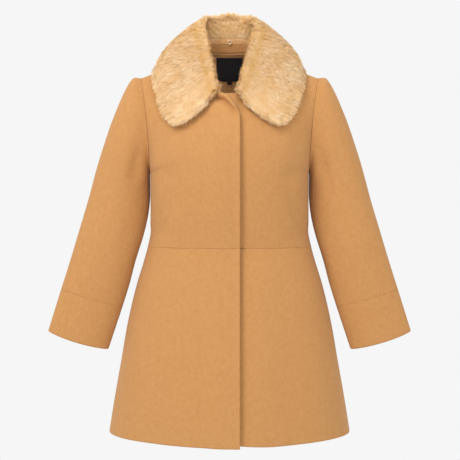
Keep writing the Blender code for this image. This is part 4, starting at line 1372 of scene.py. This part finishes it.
# The hairs on the roll stand up more, and every way
ROLL_FLUFF_AT = 11.0
ROLL_FLUFF_WIDTH = 4.0
ROLL_STRAY = 0.25
ROLL_HEIGHT = 0.40
FRONT_FLUFF_WIDTH = 20.0
FRONT_HEIGHT = 4.0
PARTING = 9
PARTING_WIDTH = 2.5
EDGE_LIGHT = 20.0
# A place this far before a grid's end is just inside its last row or column
LAST_PLACE = 1.001
END_HAIRS = 2600
END_RUN = (3.0, 9.0)
END_DROOP = 0.35
END_STRAY = 0.35
END_GOLD = 0.3

FRINGE_SPACING = 2.4
FRINGE_LAYERS = 6
FRINGE_HAIRS = 10
FRINGE_PULL = 0.86
FRINGE_ROOTS = (8.0, 22.0)
FRINGE_REACH = (-2.0, 6.5)
FRINGE_LIFT = (2.0, 14.0)
FRINGE_STRAY = 1.0
FRINGE_LOCK_STATIONS = 0.28
FRINGE_PULL_SPREAD = 0.05
# The fringe hangs straight down in front of the collar's thick edge
FRINGE_HANG = np.array([1.0, 1.0, 0.0])

FUR_LIGHT = (0.915, 0.690, 0.430)
FUR_MID = (0.840, 0.555, 0.275)
FUR_DEEP = (0.730, 0.450, 0.195)
FUR_GOLD = (0.780, 0.470, 0.150)
FUR_CLOUDS = (0.38, 0.62)
FUR_SHEEN = (1.0, 0.84, 0.60, 1.0)
GOLD_FROM_ROLL = 9.0
GOLD_AT_ROLL = 0.8
GOLD_INSIDE = 0.4


def collar_section(station, side, cloth):
    """The collar's lines up its inside, over the roll to its edge, and back on the coat to its foot."""
    along, roll_x, roll_y, roll_z, edge_x, edge_y, edge_z, lip, fall, crest = collar_at(station)
    seam = points_along(collar_seam, along * arc_lengths(collar_seam)[-1]) * np.array([side, 1.0, 1.0])
    (rise,), (outward,) = band_frame(seam[None])
    shift = COLLAR_SHIFT * along**2
    turn = math.cos(along * math.pi / 2) ** 2
    height = NECKBAND_FRONT + COLLAR_BAND_FRONT
    height += (NECKBAND_BACK + COLLAR_BAND_BACK - height) * turn
    foot = seam + outward * 2 * COLLAR_GAP + rise * 2 * COLLAR_GAP
    band_top = seam + rise * (height + 2 * SEAM)
    roll = np.array([roll_x * side + shift, roll_y, roll_z])
    edge = np.array([edge_x * side + shift, edge_y, edge_z])
    out = unit(edge - foot)
    up = unit((roll - foot) - ((roll - foot) @ out) * out)
    reach = (edge - roll) @ out
    inside = bezier(
        band_top - outward * CLOTH,
        band_top - outward * CLOTH + rise * STAND_HANDLE * np.linalg.norm(roll - band_top),
        roll - out * ROLL_HANDLE * reach,
        roll,
        COLLAR_INSIDE,
    )
    over_roll = roll + out * fall * reach + up * crest
    slant = np.interp(along, LIP_PLACES, LIP_SLANT)
    outside = bezier(roll, over_roll, edge + (up * LIP_RISE - out * slant) * lip, edge, COLLAR_OUTSIDE)
    underside = []
    for part in np.linspace(*COLLAR_UNDERSIDE_ENDS, COLLAR_UNDERSIDE):
        start = edge + (foot - edge) * part + up * RAY_REACH
        hit = cloth.ray_cast(Vector(start * MM), Vector(-up))[0]
        underside.append(np.array(hit) / MM + up * COLLAR_SEAT if hit else edge + (foot - edge) * part)
    return np.array([*inside, *outside[1:], *underside, foot, band_top + outward * COLLAR_GAP]), out


def rounded_ends(rings):
    """The collar's rings with those at its two front ends, which round it off."""
    caps = []
    for ring, before in ((rings[0], rings[1]), (rings[-1], rings[-2])):
        middle = ring.mean(axis=0)
        forward = unit(middle - before.mean(axis=0)) * END_ROUND
        across = ring - middle
        caps.append([middle + across * math.cos(turn) + forward * math.sin(turn) for turn in END_TURNS])
    return np.concatenate([caps[0][::-1], rings, caps[1]])


def front_shares(count):
    """How far each of the collar's rings belongs to its two front ends, from 0 to 1."""
    from_end = np.minimum(np.arange(count), np.arange(count)[::-1])
    return ease((SOFT_FRONT_RINGS - from_end) / SOFT_FRONT_FADE)


def neighbours(grid):
    """The mean of the four neighbours of each place in a grid."""
    padded = np.pad(grid, ((1, 1), (1, 1)) + ((0, 0),) * (grid.ndim - 2), "edge")
    return (padded[:-2, 1:-1] + padded[2:, 1:-1] + padded[1:-1, :-2] + padded[1:-1, 2:]) / 4


def softened_front(rings):
    """The collar's rings with the face of its two front ends worn soft, and its edge left where it is."""
    last = COLLAR_INSIDE + COLLAR_OUTSIDE - 2
    share = front_shares(len(rings))[1:-1, None, None]
    for _ in range(SOFT_FRONT_ROUNDS):
        middle = rings[1:-1, 1:last]
        rings[1:-1, 1:last] = middle + (neighbours(rings)[1:-1, 1:last] - middle) * share
    return rings


def ring_faces(rings):
    """The faces of a closed body whose rings follow each other."""
    count, around = rings.shape[:2]
    at = np.arange(count * around).reshape(count, around)
    after = np.roll(at, -1, axis=1)
    sides = np.stack([at[:-1], after[:-1], after[1:], at[1:]], axis=-1).reshape(-1, 4).tolist()
    return sides + [at[0, ::-1].tolist(), at[-1].tolist()]


collar_at = smooth_through(
    range(len(FUR_COLLAR)),
    [(row.along, *row.roll, *row.edge, *row[3:]) for row in FUR_COLLAR],
)
collar_seam = neckline(BAND_COLUMNS)
bodice_surface = surfaces_of([front_left, front_right, back_piece, bpy.data.objects["cloth_neckband"]])
stations = np.linspace(0, len(FUR_COLLAR) - 1, COLLAR_STATIONS + 1)[:-1]
left_sections = [collar_section(station, 1, bodice_surface) for station in stations]
right_sections = [collar_section(station, -1, bodice_surface) for station in stations]
sections = left_sections[::-1] + right_sections[1:]
collar_rings = softened_front(rounded_ends(np.array([ring for ring, _ in sections])))
front_share = front_shares(len(collar_rings))
cap_count = len(END_TURNS)
collar_out = np.pad(np.array([out for _, out in sections]), ((cap_count, cap_count), (0, 0)), "edge")
fur_face = collar_rings[:, : COLLAR_INSIDE + COLLAR_OUTSIDE - 1]
fur_normals = grid_normals(fur_face, (0, 0, 1))
leaf_up = unit(fur_normals[:, COLLAR_INSIDE:].mean(axis=1))


def ways_over_edge():
    """The way square over the collar's edge; at its rounded ends, that of the ring before them."""
    run = np.gradient(fur_face[cap_count:-cap_count, -1], axis=0)
    over = np.cross(run, leaf_up[cap_count:-cap_count])
    over *= np.sign((over * collar_out[cap_count:-cap_count]).sum(axis=-1, keepdims=True))
    return np.pad(unit(over), ((cap_count, cap_count), (0, 0)), "edge")


edge_out = ways_over_edge()


def left_to_edge():
    """How far each place on the fur's face is from the collar's edge, along its line, and straight."""
    steps = np.linalg.norm(np.diff(fur_face, axis=1), axis=-1)
    along_line = np.pad(np.cumsum(steps[:, ::-1], axis=1)[:, ::-1], ((0, 0), (0, 1)))
    return along_line, np.linalg.norm(fur_face[:, :, None] - fur_face[:, -1], axis=-1).min(axis=-1)


def depth_to_base():
    """How deep the base lies under the fur's face: less where the collar is thin."""
    body = BVHTree.FromPolygons(collar_rings.reshape(-1, 3).tolist(), ring_faces(collar_rings))
    depths = np.full(fur_face.shape[:2], BASE_DEPTH)
    near_edge = ease(1 - fur_to_edge / EDGE_WIDTH)
    depths += (EDGE_DEPTH - BASE_DEPTH) * near_edge
    shares = BASE_SHARE + BASE_SHARE_IN_FRONT * front_share
    for place in np.ndindex(depths.shape):
        way = -fur_normals[place]
        distance = body.ray_cast(Vector(fur_face[place] + way), Vector(way))[3]
        if distance:
            depths[place] = min(depths[place], shares[place[0]] * (distance + 1))
    for _ in range(DEPTH_SOFTENINGS):
        depths = neighbours(depths)
    return depths


def base_insets():
    """How far the base and the roots of the hairs are drawn in from the collar's edge."""
    width = np.abs(((collar_rings[:, -2] - fur_face[:, -1]) * edge_out).sum(axis=-1))
    return (ease(1 - fur_to_edge / EDGE_WIDTH).T * np.minimum(EDGE_INSET_SHARE * width, EDGE_INSET)).T


line_to_edge, fur_to_edge = left_to_edge()
base_depths = depth_to_base()
insets = base_insets()


def soft_fur(name, locks):
    """Soft fur: deeper at the roots, pale gold at the tips, with lighter and deeper locks."""
    fur, tree, shader = new_look(name)
    place = add_node(tree, "ShaderNodeTexCoord").outputs["Object"]
    clouds = marks(tree, "ShaderNodeTexNoise", place, scale=30.0, detail=3.0, roughness=0.6)
    upper = mixed(tree, FUR_MID, FUR_LIGHT, spread_out(tree, clouds, *FUR_CLOUDS))
    shade = BASE_FILL_SHADE
    if locks:
        shade = add_node(tree, "ShaderNodeAttribute", attribute_name="hair_shade").outputs["Fac"]
        gold = add_node(tree, "ShaderNodeAttribute", attribute_name="hair_gold").outputs["Fac"]
        upper = mixed(tree, upper, FUR_GOLD, gold)
    tree.links.new(mixed(tree, FUR_DEEP, upper, shade), shader.inputs["Base Color"])
    shader.inputs["Roughness"].default_value = 0.7
    shader.inputs["Specular IOR Level"].default_value = 0.12
    shader.inputs["Sheen Weight"].default_value = 0.08
    shader.inputs["Sheen Tint"].default_value = FUR_SHEEN
    return fur


def collar_base():
    """The padded base under the hairs, closed along the coat and at both front ends."""
    rings = collar_rings.copy()
    face = fur_face - fur_normals * base_depths[..., None] - edge_out[:, None] * insets[..., None]
    for _ in range(BASE_SOFTENINGS):
        face = neighbours(face)
    rings[:, : fur_face.shape[1]] = face
    base = add_mesh("fur_base", rings, ring_faces(rings), soft_fur("fur_base", locks=False))
    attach(base, "root")
    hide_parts("fur_collar")
    return base


def comb_directions():
    """Which way the hairs lie: away from a parting inside the roll, and square over the edge."""
    tangents = unit(np.gradient(fur_face, axis=1))
    columns = np.arange(fur_face.shape[1])
    way = np.clip((columns - PARTING) / PARTING_WIDTH, -1, 1)
    over_edge = unit(edge_out - np.array([0.0, 0.0, HAIR_DROOP]))
    outside = (columns - COLLAR_INSIDE) / COLLAR_OUTSIDE
    to_edge = (ease(1 - fur_to_edge / COMB_WIDTH) * np.clip(outside / COMB_FROM, 0, 1))[..., None]
    return tangents * way[None, :, None] * (1 - to_edge) + over_edge[:, None] * to_edge


fur_comb = comb_directions()


def grid_values(values, rows, columns):
    """Values between a grid's points, at fractional rows and columns."""
    row = np.minimum(rows.astype(int), values.shape[0] - 2)
    column = np.minimum(columns.astype(int), values.shape[1] - 2)
    down, across = rows - row, columns - column
    if values.ndim == 3:
        down, across = down[:, None], across[:, None]
    upper = values[row, column] * (1 - across) + values[row, column + 1] * across
    lower = values[row + 1, column] * (1 - across) + values[row + 1, column + 1] * across
    return upper * (1 - down) + lower * down


def scattered(random, count, first, last):
    """Places over the fur's face, between two of its stations, as even as its area."""
    areas = doubled_areas(fur_face[first : last + 1])
    picked = random.choice(areas.size, size=count, p=(areas / areas.sum()).ravel())
    row, column = np.unravel_index(picked, areas.shape)
    return first + row + random.random(count), column + random.random(count)


def lock_of_each(random, roots, count):
    """The hair at the heart of each lock, and the lock that each hair is in: the nearest one."""
    chosen = random.choice(len(roots), size=count, replace=False)
    tree = KDTree(count)
    for lock, hair in enumerate(chosen):
        tree.insert(roots[hair], lock)
    tree.balance()
    return chosen, np.array([tree.find(root)[1] for root in roots])


def add_hairs(name, random, roots, tips, normals, lock_of, gold, look):
    """Hairs from their roots to their tips: flat ribbons, pointed, with a soft bend."""
    count = len(roots)
    rise = ((tips - roots) * normals).sum(axis=1, keepdims=True)
    bends = roots + normals * rise * BEND_RISE + (tips - roots - normals * rise) * BEND_RUN
    width = random.uniform(*HAIR_WIDTH, count)[:, None]
    twist = random.normal(0, HAIR_TWIST, count)[:, None]
    flat = unit(np.cross(tips - roots, normals))
    flat = flat * np.cos(twist) + normals * np.sin(twist)
    locks = lock_of.max() + 1
    hair_shade = random.normal(0, HAIR_SHADE_SPREAD, count)
    hair_shade += random.normal(0, LOCK_SHADE_SPREAD, locks)[lock_of]
    vertices, shades = [], []
    for step, taper in zip(HAIR_STEPS, HAIR_TAPER + (0.0,)):
        place = (1 - step) ** 2 * roots + 2 * step * (1 - step) * bends + step**2 * tips
        shade = np.clip(ROOT_SHADE + (1 - ROOT_SHADE) * step**SHADE_POWER + hair_shade, 0, 1)
        sides = (-1, 1) if taper else (0,)
        vertices += [place + flat * width * taper / 2 * side for side in sides]
        shades += [shade for _ in sides]
    around = len(vertices)
    start = (np.arange(count) * around)[:, None]
    faces = (start + [0, 1, 3, 2]).tolist() + (start + [2, 3, 4]).tolist()
    hairs = add_mesh(name, np.stack(vertices, axis=1), faces, look)
    soft = unit(normals + random.normal(0, HAIR_STRAY, (count, 3)))
    hairs.data.normals_split_custom_set_from_vertices(np.repeat(soft, around, axis=0).tolist())
    gold = np.repeat(np.clip(gold + random.normal(0, LOCK_GOLD_SPREAD, locks)[lock_of], 0, 1), around)
    for kind, values in (("hair_shade", np.stack(shades, axis=1).ravel()), ("hair_gold", gold)):
        attribute = hairs.data.attributes.new(kind, "FLOAT", "POINT")
        attribute.data.foreach_set("value", values.astype(np.float32))
    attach(hairs, "root")
    return hairs


def at_rings(values, rows):
    """Values that the collar's rings have, at places between the rings."""
    return np.stack([np.interp(rows, np.arange(len(values)), axis) for axis in values.T], axis=-1)


def roots_at(rows, columns):
    """The roots of hairs at these places of the fur's face, and the way up that they are lit from."""
    normals, depth = unit(grid_values(fur_normals, rows, columns)), grid_values(base_depths, rows, columns)
    roots = grid_values(fur_face, rows, columns) - normals * (depth + HAIR_ROOT)[:, None]
    roots -= at_rings(edge_out, rows) * grid_values(insets, rows, columns)[:, None]
    near_edge = np.exp(-grid_values(fur_to_edge, rows, columns) / EDGE_LIGHT)[:, None]
    return roots, unit(normals * (1 - near_edge) + at_rings(leaf_up, rows) * near_edge)


def golden_places():
    """Where the fur is golden, from 0 to 1: in a band just outside the roll, and in the stand."""
    from_roll = np.linalg.norm(fur_face - fur_face[:, COLLAR_INSIDE, None], axis=-1)
    inside = np.arange(fur_face.shape[1]) < COLLAR_INSIDE
    band = np.exp(-(((from_roll - GOLD_FROM_ROLL) / GOLD_FROM_ROLL) ** 2))
    return np.where(inside, GOLD_INSIDE, GOLD_AT_ROLL * band)


golden = golden_places()


def add_pile(name, first, last, seed, look):
    """The collar's pile between two stations: hairs that lie nearly along the fur's face."""
    random = np.random.default_rng(seed)
    rows, columns = scattered(random, HAIRS_PER_PART, first, last)
    count = len(rows)
    face, normals = grid_values(fur_face, rows, columns), unit(grid_values(fur_normals, rows, columns))
    at_roll = np.exp(-(((columns - ROLL_FLUFF_AT) / ROLL_FLUFF_WIDTH) ** 2))
    at_front = np.interp(rows, np.arange(len(front_share)), front_share)
    at_front *= np.exp(-((grid_values(fur_to_edge, rows, columns) / FRONT_FLUFF_WIDTH) ** 2))
    stray = random.normal(0, 1, (count, 3)) * (HAIR_STRAY + ROLL_STRAY * (at_roll + at_front))[:, None]
    combed = grid_values(fur_comb, rows, columns) + stray
    combed -= normals * (combed * normals).sum(axis=1, keepdims=True)
    height = random.uniform(*HAIR_HEIGHT, count) + ROLL_HEIGHT * at_roll * random.random(count)
    height = height * grid_values(base_depths, rows, columns) + FRONT_HEIGHT * at_front * random.random(count)
    room = grid_values(fur_to_edge, rows, columns) + random.uniform(*HAIR_OVERHANG, count)
    run = np.minimum(random.uniform(*HAIR_RUN, count), room)
    tips = face + normals * height[:, None] + combed * run[:, None]
    chosen, lock_of = lock_of_each(random, face, count // HAIRS_PER_LOCK)
    pull = LOCK_PULL * random.random(count)[:, None] ** 0.5
    tips += (tips[chosen[lock_of]] - tips) * pull
    roots, normals = roots_at(rows, columns)
    return add_hairs(name, random, roots, tips, normals, lock_of, grid_values(golden, rows, columns), look)


def add_end(name, rings, up, seed, look):
    """The hairs all round one rounded front end of the collar."""
    random = np.random.default_rng(seed)
    rings = np.concatenate([rings, rings[:, :1]], axis=1)
    forward = unit(rings[-1].mean(axis=0) - rings[0].mean(axis=0))
    normals = grid_normals(rings, forward)
    rows = random.random(END_HAIRS) * (len(rings) - LAST_PLACE)
    columns = random.random(END_HAIRS) * (rings.shape[1] - LAST_PLACE)
    place, normals = grid_values(rings, rows, columns), unit(grid_values(normals, rows, columns))
    combed = forward - np.array([0.0, 0.0, END_DROOP]) + random.normal(0, END_STRAY, place.shape)
    combed -= normals * (combed * normals).sum(axis=1, keepdims=True)
    roots = place - normals * BASE_DEPTH
    tips = place + combed * random.uniform(*END_RUN, END_HAIRS)[:, None]
    chosen, lock_of = lock_of_each(random, place, END_HAIRS // HAIRS_PER_LOCK)
    tips += (tips[chosen[lock_of]] - tips) * LOCK_PULL
    return add_hairs(name, random, roots, tips, unit(normals + up), lock_of, END_GOLD, look)


def add_fringe(name, seed, look):
    """Locks of longer hairs all along the collar's edge, each drawn to a point."""
    random = np.random.default_rng(seed)
    arcs = arc_lengths(fur_face[:, -1])
    count = int(arcs[-1] / FRINGE_SPACING) * FRINGE_LAYERS
    last = len(fur_face) - LAST_PLACE
    lock_rows = np.interp(random.uniform(0, arcs[-1], count), arcs, np.arange(len(arcs)))
    lock_rows = np.minimum(lock_rows, last)
    edge_column = np.full(count, fur_face.shape[1] - LAST_PLACE)
    over_edge = unit(grid_values(fur_comb, lock_rows, edge_column))
    lift = at_rings(leaf_up, lock_rows) * FRINGE_HANG
    points = grid_values(fur_face, lock_rows, edge_column)
    points = points + over_edge * random.uniform(*FRINGE_REACH, count)[:, None]
    points += lift * random.uniform(*FRINGE_LIFT, count)[:, None] + random.normal(0, FRINGE_STRAY, (count, 3))
    lock_of = np.repeat(np.arange(count), FRINGE_HAIRS)
    rows = lock_rows[lock_of] + random.normal(0, FRINGE_LOCK_STATIONS, len(lock_of))
    rows = np.clip(rows, 0, last)
    inset = random.uniform(*FRINGE_ROOTS, len(lock_of))
    columns = np.empty(len(lock_of))
    for hair, (row, back) in enumerate(zip(rows, inset)):
        columns[hair] = np.interp(-back, -line_to_edge[int(row)], np.arange(fur_face.shape[1]))
    columns = np.minimum(columns, edge_column[0])
    own = grid_values(fur_face, rows, columns) + over_edge[lock_of] * inset[:, None]
    pull = FRINGE_PULL + random.normal(0, FRINGE_PULL_SPREAD, len(lock_of))
    tips = own + (points[lock_of] - own) * pull[:, None]
    roots, normals = roots_at(rows, columns)
    return add_hairs(name, random, roots, tips, normals, lock_of, 0.0, look)


collar_base()
hair_look = soft_fur("fur_hairs", locks=True)
PILE_PARTS = ("fur_left_leaf", "fur_left_shoulder", "fur_back", "fur_right_shoulder", "fur_right_leaf")
part_ends = np.linspace(0, len(fur_face) - 1, len(PILE_PARTS) + 1).astype(int)
for part, name in enumerate(PILE_PARTS):
    add_pile(name, part_ends[part], part_ends[part + 1], HAIR_SEED + part, hair_look)
add_fringe("fur_fringe", HAIR_SEED + len(PILE_PARTS), hair_look)
end_seed = HAIR_SEED + len(PILE_PARTS) + 1
add_end("fur_left_end", collar_rings[cap_count::-1], leaf_up[0], end_seed, hair_look)
add_end("fur_right_end", collar_rings[-cap_count - 1 :], leaf_up[-1], end_seed + 1, hair_look)
